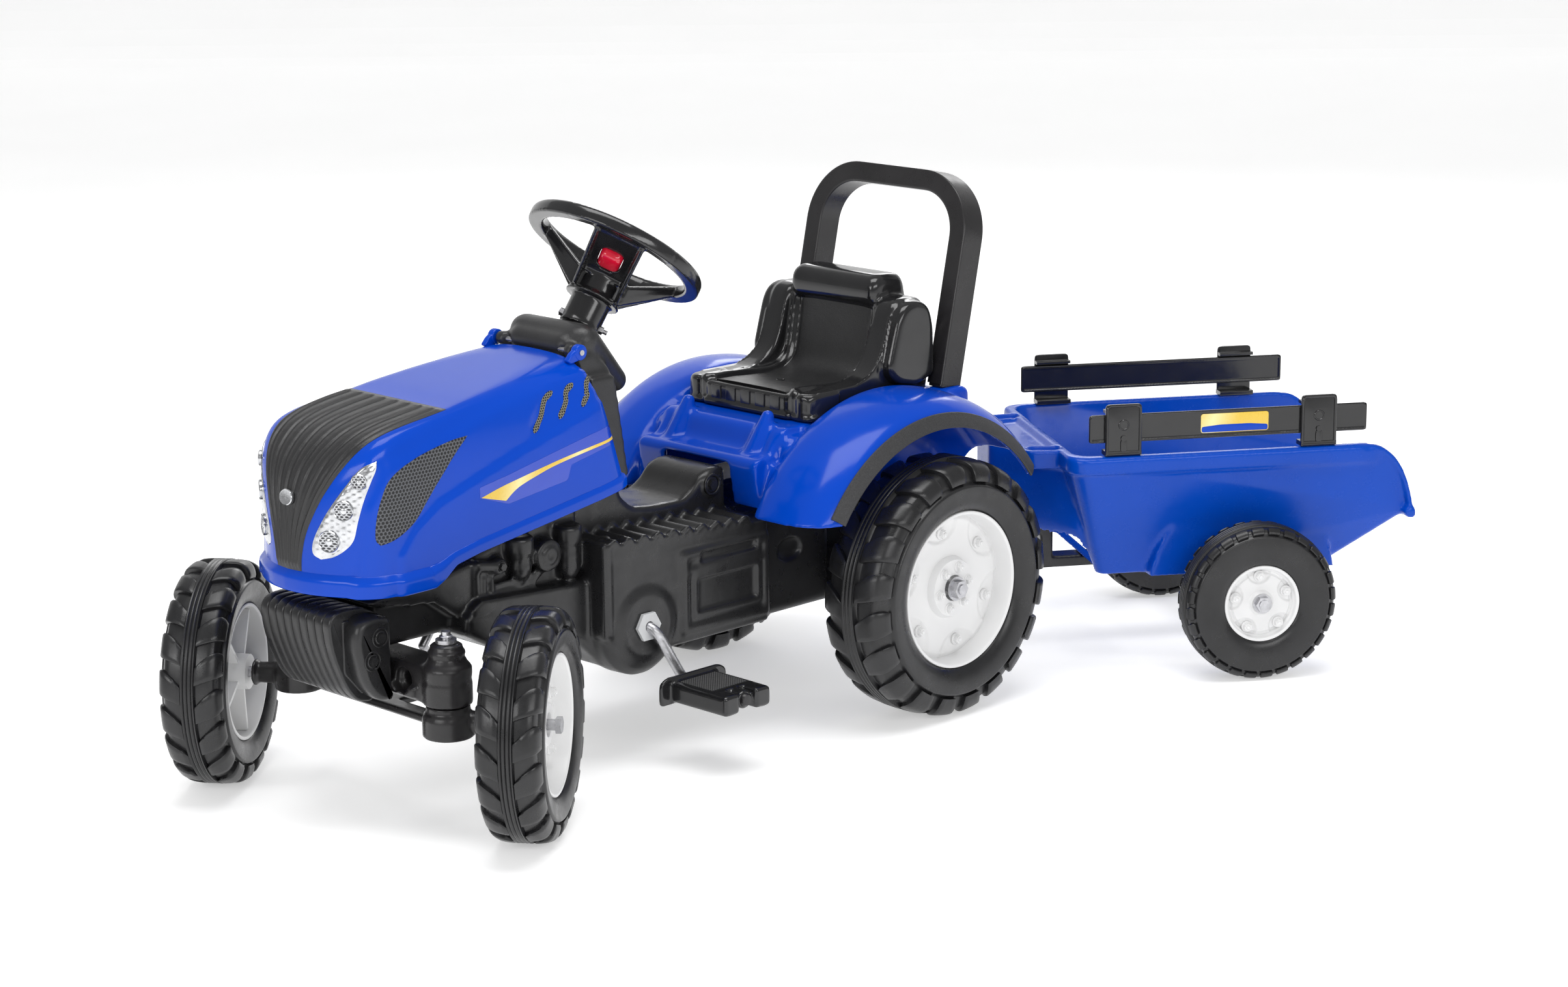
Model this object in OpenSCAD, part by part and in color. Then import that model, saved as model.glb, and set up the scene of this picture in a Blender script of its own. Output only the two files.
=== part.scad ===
// Pedal tractor with a two-wheel trailer, stored with the wheels steered to the left.
// The tractor is drawn with +X forward, +Y left and +Z up from the ground under the rear axle.
// Everything is then shifted so that the origin is under the middle of the whole outfit.

/* [Layout] */
// Rear axle to kingpins
wheelbase = 669; // [665:1:675]
// Steering angle of the stored pose, to the left
steer_rest = 36.5; // [20:0.5:38]
// Trailer angle of the stored pose, seen from above
trailer_yaw = -34; // [-38:0.5:-10]
// Lean of the steering column from vertical
column_tilt = 36.5; // [36:0.5:37]

/* [Wheels] */
// Rear tyre diameter
rear_d = 300; // [296:1:302]
// Rear tyre width
rear_w = 94; // [88:1:96]
// Rear rim radius
rear_rim_r = 92; // [86:1:94]
// Middle of a rear wheel to the centre line
rear_half_track = 196; // [194:1:198]
// Front tyre diameter
front_d = 244; // [240:1:246]
// Front tyre width
front_w = 70; // [64:1:72]
// Front rim radius
front_rim_r = 75; // [70:1:78]
// Kingpin to the centre line
kingpin_y = 125.8; // [124:0.2:128]
// Kingpin to the middle of the front wheel
kingpin_to_wheel = 86.7; // [86:0.1:90]
// Trailer tyre diameter
trailer_d = 188; // [184:1:190]
// Trailer tyre width
trailer_w = 50; // [46:1:52]
// Trailer rim radius
trailer_rim_r = 47; // [44:1:50]

/* [Steering] */
// Steering wheel rim, middle to centre
steering_r = 94.5; // [90:0.5:96]
// Steering wheel rim thickness
steering_rim_d = 18; // [16:1:19]
// Knuckle arm and steering arm length
steer_arm = 50; // [48:1:52]
// Turn of the horn spoke in the stored pose, from the top towards the left
spoke_turn = 48; // [40:1:60]
// Side play of the steering pin in the tie rod fork
fork_play = 0.4; // [0.3:0.1:0.8]

/* [Drive] */
// Crank axis ahead of the rear axle
crank_x = 365; // [360:1:368]
// Crank axis above the ground
crank_z = 156; // [154:1:158]
// Crank arm length
crank_arm = 85; // [80:1:86]
// Backward swing of the left crank arm from straight down
crank_swing = 32; // [20:1:40]
// Chainwheel pitch radius
chainwheel_r = 40; // [38:1:42]
// Rear sprocket pitch radius
sprocket_r = 20; // [18:1:22]

/* [Body] */
// Width over the hood
hood_w = 200; // [196:1:202]
// Wall of the blue shells
shell_wall = 3.5; // [3:0.5:4]
// Roll hoop width
hoop_w = 256; // [252:1:260]
// Roll hoop height over its foot
hoop_h = 246; // [240:1:252]
// Lean of the roll hoop
hoop_lean = 12.5; // [11:0.5:13]

/* [Trailer] */
// Hitch pin behind the rear axle
hitch_back = 140.4; // [140:0.2:144]
// Trailer axle behind the hitch pin
trailer_axle_back = 397.6; // [395:0.2:400]
// Middle of a trailer wheel to the trailer's centre line
trailer_half_track = 193; // [191:1:195]
// Trailer rim height
tub_top = 270; // [268:1:272]
// Trailer floor underside
tub_bottom = 114; // [112:1:116]
// Outside width of the trailer rim
tub_w = 316; // [312:1:318]

/* [Fits] */
// Radial play of a turning shaft
running = 0.05; // [0.03:0.01:0.08]

/* [Hidden] */
$fn = 64;

blue = [0.0, 0.12, 0.62];
tub_blue = [0.0, 0.14, 0.66];
black = [0.03, 0.03, 0.035];
charcoal = [0.07, 0.07, 0.075];
tyre_black = [0.02, 0.02, 0.02];
white = [0.85, 0.85, 0.85];
steel = [0.6, 0.6, 0.62];
red = [0.75, 0.02, 0.06];
lamp = [0.85, 0.88, 0.9];

rear_r = rear_d / 2;
front_r = front_d / 2;
trailer_r = trailer_d / 2;
axle_r = 6;
stub_r = 6;
kingpin_r = 5;
shaft_r = 5;
crank_r = 6;
axle_bush_r = 9;
crank_bush_r = 11;
hinge_r = 3;
hinge_ear_r = 8;
hitch_pin_r = 6;

// Outermost points of the stored pose: right front tyre, trailer lip corners
x_front = wheelbase + kingpin_to_wheel * sin(steer_rest) + front_r * cos(steer_rest)
        + front_w * 0.42 * sin(steer_rest);
y_right = -kingpin_y - kingpin_to_wheel * cos(steer_rest) - front_r * sin(steer_rest)
        - front_w * 0.42 * cos(steer_rest);
lip_back = 604;
lip_half_w = 172;
x_back = -hitch_back - lip_back * cos(trailer_yaw) + lip_half_w * sin(trailer_yaw);
y_left = -lip_back * sin(trailer_yaw) + lip_half_w * cos(trailer_yaw);
middle = [(x_front + x_back) / 2, (y_right + y_left) / 2];

// Steering column: distances are measured down the axis from the centre of the wheel rim
column_top = [309.6, 0, 553.7];
hub_end = 63;
neck_end = 97;
bush_end = 140;
bush_r = 16;
// Clamping bolt through the neck
clamp_bolt_r = 2.5;
clamp_bolt_up = 8;
clamp_bolt_turn = 90;
shaft_end = (column_top[2] - 163) / cos(column_tilt);

// Hood hinge
hinge_x = 428;
hinge_z = 466;

// Crank pin of the left pedal, measured from the crank axis
crank_pin = [-crank_arm * sin(crank_swing), -crank_arm * cos(crank_swing)];
crank_arm_y = 112;
pedal_inner_y = 121;
pedal_outer_y = 211;

// ---------- placing helpers ----------

module shifted() translate([-middle[0], -middle[1], 0]) children();

module trailer_place()
  shifted() translate([-hitch_back, 0, 0]) rotate([0, 0, trailer_yaw]) children();

// side is +1 on the left and -1 on the right
module knuckle_place(side)
  shifted() translate([wheelbase, side * kingpin_y, 0]) rotate([0, 0, steer_rest]) children();

// Local z points up the column, local x points forward and up when the wheel is straight
module column_place(turn = 0)
  shifted() translate(column_top) rotate([0, -column_tilt, 0]) rotate([0, 0, turn]) children();

module on_side(side) mirror([0, side < 0 ? 1 : 0, 0]) children();

// A cylinder along Y from y0 to y1, centred on x and z
module rod_y(r, y0, y1, x = 0, z = 0)
  translate([x, y0, z]) rotate([-90, 0, 0]) cylinder(h = y1 - y0, r = r);

// A side outline, given as [x, z] points, made solid from y0 to y1
module side_plate(points, y0, y1)
  translate([0, y1, 0]) rotate([90, 0, 0]) linear_extrude(y1 - y0) polygon(points);

// A round bar between two points in one X-Z plane
module bar_xz(r, from, to, y) {
  run = to - from;
  translate([from[0], y, from[1]]) rotate([0, atan2(run[0], run[1]), 0]) cylinder(h = norm(run), r = r);
}

module hex_prism(across, h) cylinder(h = h, r = across / 2 / cos(30), $fn = 6);

// ---------- wheels ----------

// Half sections are [radius, offset] points; the offset runs towards the outside of the vehicle
function tyre_section(r, bead_r, w) = [
  [bead_r, -0.42 * w], [bead_r + 0.30 * (r - bead_r), -0.50 * w], [bead_r + 0.72 * (r - bead_r), -0.50 * w],
  [r - 0.05 * r, -0.44 * w], [r - 0.01 * r, -0.33 * w], [r, -0.12 * w],
  [r, -0.07 * w], [r - 0.02 * r, -0.06 * w], [r - 0.02 * r, -0.035 * w], [r, -0.025 * w],
  [r, 0.025 * w], [r - 0.02 * r, 0.035 * w], [r - 0.02 * r, 0.06 * w], [r, 0.07 * w],
  [r, 0.12 * w], [r - 0.01 * r, 0.33 * w], [r - 0.05 * r, 0.44 * w],
  [bead_r + 0.72 * (r - bead_r), 0.50 * w], [bead_r + 0.30 * (r - bead_r), 0.50 * w], [bead_r, 0.42 * w]
];

module tyre(r, bead_r, w)
  color(tyre_black) rotate([-90, 0, 0]) rotate_extrude($fn = 96) polygon(tyre_section(r, bead_r, w));

// A moulded rim: barrel, recessed disc, hub and moulded bolt heads
module rim(rim_r, w, bore_r, hub_r, hub_in, hub_out, disc_at, bolts, bolt_circle) {
  barrel = 4;
  disc = 4;
  color(white) union() {
    rotate([-90, 0, 0]) rotate_extrude($fn = 96) union() {
      translate([rim_r - barrel, -0.42 * w]) square([barrel, 0.84 * w]);
      translate([hub_r - 1, disc_at]) square([rim_r - hub_r - barrel + 2, disc]);
      translate([bore_r, hub_in]) square([hub_r - bore_r, hub_out - hub_in]);
    }
    for (i = [0 : bolts - 1])
      rotate([0, i * 360 / bolts, 0]) translate([bolt_circle, disc_at + disc - 0.5, 0])
        rotate([-90, 0, 0]) hex_prism(8, 4.5);
  }
}

module rear_tyre(side)
  shifted() on_side(side) translate([0, rear_half_track, rear_r]) tyre(rear_r, rear_rim_r, rear_w);
module rear_rim(side)
  shifted() on_side(side) translate([0, rear_half_track, rear_r])
    rim(rear_rim_r, rear_w, side > 0 ? axle_r : axle_r + running, 38, -42, 30, 14, 6, 66);
module rear_tyre_left() rear_tyre(1);
module rear_tyre_right() rear_tyre(-1);
module rear_rim_left() rear_rim(1);
module rear_rim_right() rear_rim(-1);

module front_wheel_place(side)
  knuckle_place(side) on_side(side) translate([0, kingpin_to_wheel, front_r]) children();
module front_tyre_left() front_wheel_place(1) tyre(front_r, front_rim_r, front_w);
module front_tyre_right() front_wheel_place(-1) tyre(front_r, front_rim_r, front_w);
module front_rim(side)
  front_wheel_place(side) rim(front_rim_r, front_w, stub_r + running, 24, -30, 26, 8, 5, 50);
module front_rim_left() front_rim(1);
module front_rim_right() front_rim(-1);

module trailer_wheel_place(side)
  trailer_place() on_side(side) translate([-trailer_axle_back, trailer_half_track, trailer_r]) children();
module trailer_tyre_left() trailer_wheel_place(1) tyre(trailer_r, trailer_rim_r, trailer_w);
module trailer_tyre_right() trailer_wheel_place(-1) tyre(trailer_r, trailer_rim_r, trailer_w);
module trailer_rim(side)
  trailer_wheel_place(side) rim(trailer_rim_r, trailer_w, axle_r + running, 14, -22, 20, 12, 5, 33);
module trailer_rim_left() trailer_rim(1);
module trailer_rim_right() trailer_rim(-1);

// ---------- chassis and what is fixed to it ----------

// Lower edge of the front of the chassis clears the steering arm
spine = [
  [-96, 140], [-96, 236], [-60, 248], [190, 248], [191, 298], [214, 300], [232, 290], [261, 273], [344, 289],
  [356, 317], [386, 312], [640, 250], [700, 250], [700, 186], [548, 186],
  [530, 160], [440, 148], [401, 108], [311, 123], [158, 122], [71, 116], [-40, 116]
];
lower_box = [
  [-50, 118], [-50, 230], [-20, 246], [422, 246], [422, 214], [575, 209], [578, 186], [548, 160],
  [440, 146], [401, 108], [311, 124], [158, 124], [71, 118]
];
footboard = [[200, 244], [200, 252], [424, 264], [424, 244]];
engine_base = [[422, 205], [600, 205], [600, 262], [422, 300]];
spine_half_w = 46;
box_half_w = 74;
panel_half_w = 98;

module chassis_solid() {
  side_plate(spine, -spine_half_w, spine_half_w);
  side_plate(lower_box, -box_half_w, box_half_w);
  // Full-width box under the footboards, ahead of the rear wheels
  translate([186, -panel_half_w, 124]) cube([225, 2 * panel_half_w, 122]);
  translate([60, -86, 120]) cube([130, 172, 122]);
  for (side = [-1, 1]) on_side(side) side_plate(footboard, 58, 99);
  // Ribs across the footboards
  for (side = [-1, 1], i = [0 : 8]) on_side(side)
    rod_y(4, 60, 98, 222 + 22 * i, 252.2 + 1.18 * i);
  side_plate(engine_base, -62, 62);
  // Oil filters, pulley and pump moulded into both sides of the engine
  for (side = [-1, 1]) on_side(side) {
    for (x = [443, 511]) translate([x, 62, 214]) cylinder(h = 50, r = 13);
    rod_y(17, 60, 74, 478, 256);
    translate([534, 60, 232]) cube([40, 10, 22]);
  }
  // Crank boss and rear axle tubes
  rod_y(48, -100, 100, crank_x, crank_z);
  rod_y(30, -144, 144, 0, rear_r);
  // Nut bosses that hold the rear body to the tunnel
  rod_y(11, -50, 50, 217, 283);
}

module chassis() color(charcoal) shifted() difference() {
  chassis_solid();
  // Drive tunnel for the chain, open at the bottom
  side_plate([[-50, 100], [-50, 196], [425, 214], [425, 100]], -16, 16);
  // Bores for the bushes
  rod_y(axle_bush_r, -145, 145, 0, rear_r);
  rod_y(crank_bush_r, -101, 101, crank_x, crank_z);
  // Clearance hole for the steering shaft and the bore that holds its bush
  translate(column_top) rotate([0, -column_tilt, 0]) {
    translate([0, 0, -shaft_end]) cylinder(h = shaft_end - bush_end, r = shaft_r + 3);
    translate([0, 0, -bush_end - 1]) cylinder(h = bush_end, r = bush_r);
  }
  // Socket for the hitch tongue
  translate([-100, -20, 150]) cube([60, 40, 12]);
}

weight_outline = [
  [704, 176], [704, 232], [724, 241], [758, 242], [766.5, 233], [763, 200], [746, 158], [732, 142],
  [716, 139], [704, 144]
];
module weight_block() color(charcoal) shifted() {
  plate = 12;
  pitch = 13;
  for (i = [-4 : 4])
    side_plate(weight_outline, i * pitch - plate / 2, i * pitch + plate / 2);
  translate([703, -62, 152]) cube([50, 124, 76]);
  // Side plates with two moulded bolt heads each
  for (side = [-1, 1]) on_side(side) {
    side_plate([[703, 142], [703, 230], [722, 237], [746, 232], [750, 208], [736, 160], [720, 144]], 58, 82);
    for (p = [[716, 214], [728, 192]])
      translate([p[0], 81, p[1]]) rotate([-90, 0, 0]) hex_prism(11, 3);
  }
}

beam_z = 141;
boss_top = 183;
module front_axle() color(charcoal) shifted() difference() {
  union() {
    translate([wheelbase - 24, -kingpin_y, beam_z]) cube([48, 2 * kingpin_y, boss_top - beam_z]);
    for (side = [-1, 1]) translate([wheelbase, side * kingpin_y, beam_z]) {
      cylinder(h = boss_top - beam_z, r = 25);
      cylinder(h = 64, r = 18);
    }
  }
  for (side = [-1, 1]) {
    translate([wheelbase, side * kingpin_y, beam_z - 1]) cylinder(h = 70, r = kingpin_r);
    // Lightening holes through the beam
    translate([wheelbase - 30, side * 78, 162]) rotate([0, 90, 0]) cylinder(h = 60, r = 12);
  }
}

// The kingpins are fixed in the beam, and the knuckles turn on their lower ends
module kingpins() color(steel) shifted() for (side = [-1, 1])
  translate([wheelbase, side * kingpin_y, 0]) {
    translate([0, 0, 110]) cylinder(h = 108, r = kingpin_r);
    translate([0, 0, 206]) cylinder(h = 4, r = 11);
  }

module kingpin_clips() color(steel) shifted() for (side = [-1, 1])
  translate([wheelbase, side * kingpin_y, 0]) {
    translate([0, 0, 213]) rotate_extrude() translate([kingpin_r + 1, 0]) circle(r = 1, $fn = 16);
  }

module dash_cowl() color(black) shifted() difference() {
  union() {
    // Panel that closes the back of the hood
    side_plate([[362, 318.5], [384, 318.5], [417, 436], [378, 436]], -74, 74);
    side_plate([[366, 400], [390, 330], [426, 462], [404, 462], [378, 440]], -62, 62);
    hull() {
      rod_y(19, -46, 46, 402, 472);
      rod_y(17, -34, 34, 372, 452);
      rod_y(14, -26, 26, 336, 416);
      rod_y(6, -56, 56, 388, 420);
    }
    for (side = [-1, 1]) on_side(side) rod_y(hinge_ear_r, 48, 62, hinge_x, hinge_z);
  }
  rod_y(hinge_r, -75, 75, hinge_x, hinge_z);
  translate(column_top) rotate([0, -column_tilt, 0]) {
    translate([0, 0, -neck_end - 26]) cylinder(h = 40, r = 24);
    translate([0, 0, -bush_end - 60]) cylinder(h = bush_end, r = bush_r);
  }
}

// Blue moulding: seat box with two fenders
box_outline = [
  [187, 253], [196, 306], [190, 313], [164, 312], [150, 338], [140, 341], [-97, 341], [-98, 352],
  [-110, 352], [-118, 330], [-122, 253], [120, 253]
];
box_inner = [
  [183, 240], [192, 304], [188, 309], [160, 308], [147, 334], [138, 336.5], [-110, 336.5],
  [-114, 325], [-118, 240]
];
// The box is wider between the wheels, where the fenders stand on it
shoulder_outline = [[152, 253], [150, 331], [-116, 331], [-120, 253]];
shoulder_inner = [[148, 240], [146, 327], [-112, 327], [-116, 240]];
fender_centre = [14, 146];
// Half section of a fender: [radius from the wheel centre, distance from the centre line]
fender_outer = [
  [170, 104], [216, 104.5], [224, 110], [227, 140], [226, 172], [219, 192], [206, 206], [190, 214]
];
fender_inner = [
  [186.5, 216], [203, 203], [215, 189], [222, 170], [223, 140], [220.5, 113], [213, 108.3], [170, 108]
];
module fender(side)
  on_side(side) translate([fender_centre[0], 0, fender_centre[1]]) rotate([90, 0, 0]) rotate([0, 0, 33])
    rotate_extrude(angle = 112, $fn = 96)
      polygon([for (p = concat(fender_outer, fender_inner)) [p[0], -p[1]]]);

module rear_body() color(blue) shifted() difference() {
  union() {
    difference() {
      union() {
        side_plate(box_outline, -97, 97);
        side_plate(shoulder_outline, -106, 106);
      }
      side_plate(box_inner, -93, 93);
      side_plate(shoulder_inner, -102, 102);
    }
    for (side = [-1, 1]) fender(side);
    // Posts in front of the seat, leaning back from the shelf
    for (side = [-1, 1]) hull() {
      translate([166, side * 65, 309]) cylinder(h = 2, r = 9);
      translate([141, side * 65, 350]) cylinder(h = 2, r = 9);
    }
    // Feet of the roll hoop
    for (side = [-1, 1]) on_side(side) translate([-120, 105, 328]) cube([42, 28, 26]);
  }
  // Notch for the tunnel
  translate([170, -53, 240]) cube([40, 106, 62]);
}

module fender_trim(side)
  color(black) shifted() on_side(side)
    translate([fender_centre[0], 0, fender_centre[1]]) rotate([90, 0, 0]) rotate([0, 0, 34])
      rotate_extrude(angle = 110, $fn = 96)
        polygon([for (p = [[190.5, 214.2], [206.2, 206.3], [207.2, 207.3], [191.2, 215.6]]) [p[0], -p[1]]]);
module fender_trim_left() fender_trim(1);
module fender_trim_right() fender_trim(-1);

// Seat: pan and backrest with side wings
seat_side = [
  [109, 342], [109, 371], [100, 374], [30, 366], [-22, 372], [-34, 392], [-40, 460], [-40, 487],
  [-76, 489], [-90, 470], [-92, 360], [-86, 345], [-60, 342]
];
seat_wing = [
  [109, 342], [109, 374], [40, 374], [8, 380], [-14, 400], [-26, 440], [-32, 460], [-60, 466],
  [-88, 456], [-92, 360], [-86, 345], [-60, 342]
];
module seat() color(black) shifted() {
  side_plate(seat_side, -68, 68);
  for (side = [-1, 1]) on_side(side) side_plate(seat_wing, 68, 102);
  for (side = [-1, 1]) on_side(side)
    side_plate([[-8, 382], [-20, 420], [-29, 448], [-40, 460], [-60, 463], [-82, 450], [-82, 382]], 101, 114);
}

// Roll hoop in its own plane: y across, z up from the foot
module hoop_outline(grow = 0) {
  corner = 74 + grow;
  half_w = hoop_w / 2 + grow;
  top = hoop_h + grow;
  union() {
    translate([-half_w, 0]) square([2 * half_w, top - corner]);
    translate([-half_w + corner, 0]) square([2 * (half_w - corner), top]);
    for (side = [-1, 1]) translate([side * (half_w - corner), top - corner]) circle(r = corner, $fn = 96);
  }
}
hoop_bar = 24;
hoop_depth = 34;
module roll_hoop() color(black) shifted()
  translate([-99, 0, 354.3]) rotate([0, -hoop_lean, 0]) translate([hoop_depth / 2, 0, 4])
    rotate([90, 0, -90]) linear_extrude(hoop_depth) difference() {
      hoop_outline();
      translate([0, -1]) hoop_outline(-hoop_bar);
    }

module crank_bushes() color(white) shifted() for (side = [-1, 1]) on_side(side) difference() {
  union() {
    rod_y(crank_bush_r, 80, 100, crank_x, crank_z);
    translate([crank_x, 100, crank_z]) rotate([-90, 0, 0]) hex_prism(30, 4);
  }
  rod_y(crank_r + running, 79, 105, crank_x, crank_z);
}

module axle_bushes() color(white) shifted() for (side = [-1, 1]) on_side(side) difference() {
  union() {
    rod_y(axle_bush_r, 110, 144, 0, rear_r);
    rod_y(14, 144, 149, 0, rear_r);
  }
  rod_y(axle_r + running, 109, 150, 0, rear_r);
}

// Endless chain as one flat loop that stands clear of both toothed wheels
chain_gap = 3;
module chain_loop(grow) {
  hull() {
    circle(r = sprocket_r + grow);
    translate([crank_x, crank_z - rear_r]) circle(r = chainwheel_r + grow);
  }
}
module chain() color(steel) shifted() translate([0, 4, rear_r]) rotate([90, 0, 0])
  linear_extrude(8) difference() {
    chain_loop(chain_gap + 6);
    chain_loop(chain_gap);
  }

module hitch_tongue() color(steel) shifted() difference() {
  union() {
    translate([-hitch_back, -18, 150]) cube([hitch_back - 60, 36, 8]);
    translate([-hitch_back, 0, 150]) cylinder(h = 8, r = 18);
  }
  translate([-hitch_back, 0, 149]) cylinder(h = 10, r = hitch_pin_r + running);
}

// The pin lifts out of the tongue and the drawbar
module hitch_pin() color(steel) shifted() translate([-hitch_back, 0, 0]) {
  translate([0, 0, 130]) cylinder(h = 50, r = hitch_pin_r);
  translate([0, 0, 170.4]) cylinder(h = 6, r = 12);
  translate([0, 0, 186]) rotate([90, 0, 0]) rotate_extrude() translate([9, 0]) circle(r = 2, $fn = 16);
}

module steering_bush() color(black) column_place() difference() {
  union() {
    translate([0, 0, -bush_end]) cylinder(h = bush_end - neck_end - 1, r = bush_r);
    translate([0, 0, -neck_end - 6]) cylinder(h = 5, r = 21);
    translate([0, 0, -neck_end - 12]) cylinder(h = 4, r = 22);
  }
  translate([0, 0, -bush_end - 1]) cylinder(h = bush_end, r = shaft_r + running);
}

module hood_hinge_pin() color(steel) shifted() rod_y(hinge_r, -74, 74, hinge_x, hinge_z);

// ---------- hood ----------

hood_side = [
  [389, 318], [430, 458], [436, 465], [541, 449.5], [620, 436], [699, 426], [742, 401], [768, 357],
  [772, 283], [772, 257], [652, 262], [632, 276], [389, 318]
];
// How far the bumper lip stands out from the nose
lip_out = 7;
hood_half = hood_w / 2;
hood_plan = [
  [380, hood_half], [650, hood_half], [718, hood_half - 1], [742, hood_half - 20], [761, 50], [770, 24],
  [772, 0], [770, -24], [761, -50], [742, 20 - hood_half], [718, 1 - hood_half], [650, -hood_half],
  [380, -hood_half]
];
// Front view: the sides lean in towards a rounded top
hood_front = [
  [hood_half, 240], [hood_half, 330], [hood_half - 8, 430], [84, 455], [70, 468], [0, 472],
  [-70, 468], [-84, 455], [8 - hood_half, 430], [-hood_half, 330], [-hood_half, 240]
];
module hood_form(inset) intersection() {
  translate([0, 110, 0]) rotate([90, 0, 0]) linear_extrude(220) offset(delta = -inset) polygon(hood_side);
  translate([0, 0, 230]) linear_extrude(260) offset(delta = -inset) polygon(hood_plan);
  translate([360, 0, 0]) rotate([90, 0, 90]) linear_extrude(430) offset(delta = -inset) polygon(hood_front);
}
module hood() color(blue) shifted() difference() {
  union() {
    difference() {
      union() {
        hood_form(0);
        // Bumper lip round the nose
        intersection() {
          translate([0, 0, 257]) linear_extrude(24) offset(delta = lip_out) polygon(hood_plan);
          side_plate([[640, 272], [656, 257], [800, 257], [800, 283], [640, 283]], -110, 110);
        }
      }
      hood_form(shell_wall);
      // Open at the bottom and at the back
      side_plate([[380, 250], [383, 326], [642, 282], [660, 267], [775, 262], [775, 250]], -96, 96);
      side_plate([[370, 322], [425, 462], [436, 458], [394, 318]], -96, 96);
    }
    for (side = [-1, 1]) on_side(side) {
      rod_y(hinge_ear_r, 64, 72, hinge_x, hinge_z);
      side_plate([[hinge_x, hinge_z - hinge_ear_r], [hinge_x, hinge_z + 4], [444, 465], [444, 459]], 64, 72);
    }
  }
  rod_y(hinge_r + running, -75, 75, hinge_x, hinge_z);
  // Notches around the ears of the dash cowl
  for (side = [-1, 1]) on_side(side) rod_y(hinge_ear_r + 1, 44, 63.5, hinge_x, hinge_z);
}

// Black panel that wraps over the nose
module grille_panel() color(charcoal) shifted() intersection() {
  difference() {
    hood_form(-3);
    hood_form(0);
  }
  union() {
    translate([0, 0, 370]) linear_extrude(80) polygon([[621, 78], [780, 40], [780, -40], [621, -78]]);
    translate([700, 0, 0]) rotate([90, 0, 90]) linear_extrude(90)
      polygon([[56, 372], [24, 283], [-24, 283], [-56, 372]]);
  }
}

module headlamp(side)
  color(lamp) shifted() on_side(side) intersection() {
    difference() {
      hood_form(-3.5);
      hood_form(0);
    }
    translate([700, 0, 0]) rotate([90, 0, 90]) linear_extrude(90) polygon([
      [84, 396], [74, 372], [62, 340], [40, 303], [48, 292], [66, 292], [84, 310], [88, 340], [88, 378]
    ]);
  }
module headlamp_left() headlamp(1);
module headlamp_right() headlamp(-1);

module side_grille(side)
  color(black) shifted() on_side(side) intersection() {
    difference() {
      hood_form(-2);
      hood_form(0);
    }
    side_plate([
      [712, 300], [704, 344], [684, 376], [620, 402], [600, 406], [640, 366], [676, 316], [700, 292]
    ], 60, 110);
  }
module side_grille_left() side_grille(1);
module side_grille_right() side_grille(-1);

// ---------- steering ----------

module steering_wheel() color(black) column_place(spoke_turn) difference() {
  union() {
    rotate_extrude($fn = 96) translate([steering_r, 0]) circle(d = steering_rim_d, $fn = 32);
    translate([0, 0, -neck_end]) cylinder(h = neck_end - hub_end, r = 22);
    translate([0, 0, -hub_end]) cylinder(h = 36, r = 29);
    // Three dished spokes, each of two bars
    for (i = [0 : 2], bar = [-1, 1])
      rotate([0, 0, i * 120 + bar * (i == 0 ? 20 : 14)]) translate([22, 0, -46]) rotate([0, 60, 0])
        translate([-4, -3.5, 0]) cube([8, 7, 80]);
    // Pad that carries the horn button
    translate([14, -20, -36]) rotate([0, -14, 0]) cube([58, 40, 22]);
  }
  translate([0, 0, -neck_end - 1]) cylinder(h = neck_end - 38, r = shaft_r);
  // Hole of the clamping bolt
  rotate([0, 0, clamp_bolt_turn]) translate([-40, 0, -neck_end + clamp_bolt_up])
    rotate([0, 90, 0]) cylinder(h = 80, r = clamp_bolt_r);
  // Opening of the horn button, whose body shows through the underside
  horn_place() translate([0, 0, -40]) linear_extrude(74) horn_outline(0.4);
}

// The button sits on the leaning pad and moves square to it
module horn_place() translate([46, 0, -7]) rotate([0, -14, 0]) children();
module horn_outline(grow) polygon([
  [-15 - grow, -9], [-10, -13 - grow], [12, -13 - grow], [16 + grow, -9],
  [16 + grow, 9], [12, 13 + grow], [-10, 13 + grow], [-15 - grow, 9]
]);
module horn_button() color(red) column_place(spoke_turn) horn_place()
  translate([0, 0, -26.5]) linear_extrude(37) horn_outline(0);

// Steel rod whose bent lower end moves the tie rod
module steering_shaft() color(steel) column_place(steer_rest) difference() {
  union() {
    translate([0, 0, -shaft_end]) cylinder(h = shaft_end - 40, r = shaft_r);
    translate([0, 0, -shaft_end]) sphere(r = shaft_r);
    translate([0, 0, -shaft_end]) rotate([0, -90, 0]) cylinder(h = steer_arm, r = shaft_r);
    translate([-steer_arm, 0, -shaft_end]) sphere(r = shaft_r);
    translate([-steer_arm, 0, -shaft_end - 30]) cylinder(h = 30, r = shaft_r);
  }
  rotate([0, 0, spoke_turn + clamp_bolt_turn - steer_rest]) translate([-10, 0, -neck_end + clamp_bolt_up])
    rotate([0, 90, 0]) cylinder(h = 20, r = clamp_bolt_r);
}

module column_bolt() color(steel) column_place(spoke_turn + clamp_bolt_turn)
  translate([0, 0, -neck_end + clamp_bolt_up]) rotate([0, 90, 0]) {
  translate([0, 0, -27]) cylinder(h = 58, r = clamp_bolt_r);
  translate([0, 0, 22.1]) hex_prism(8, 4);
  translate([0, 0, -26.1]) hex_prism(8, 4);
}

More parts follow.
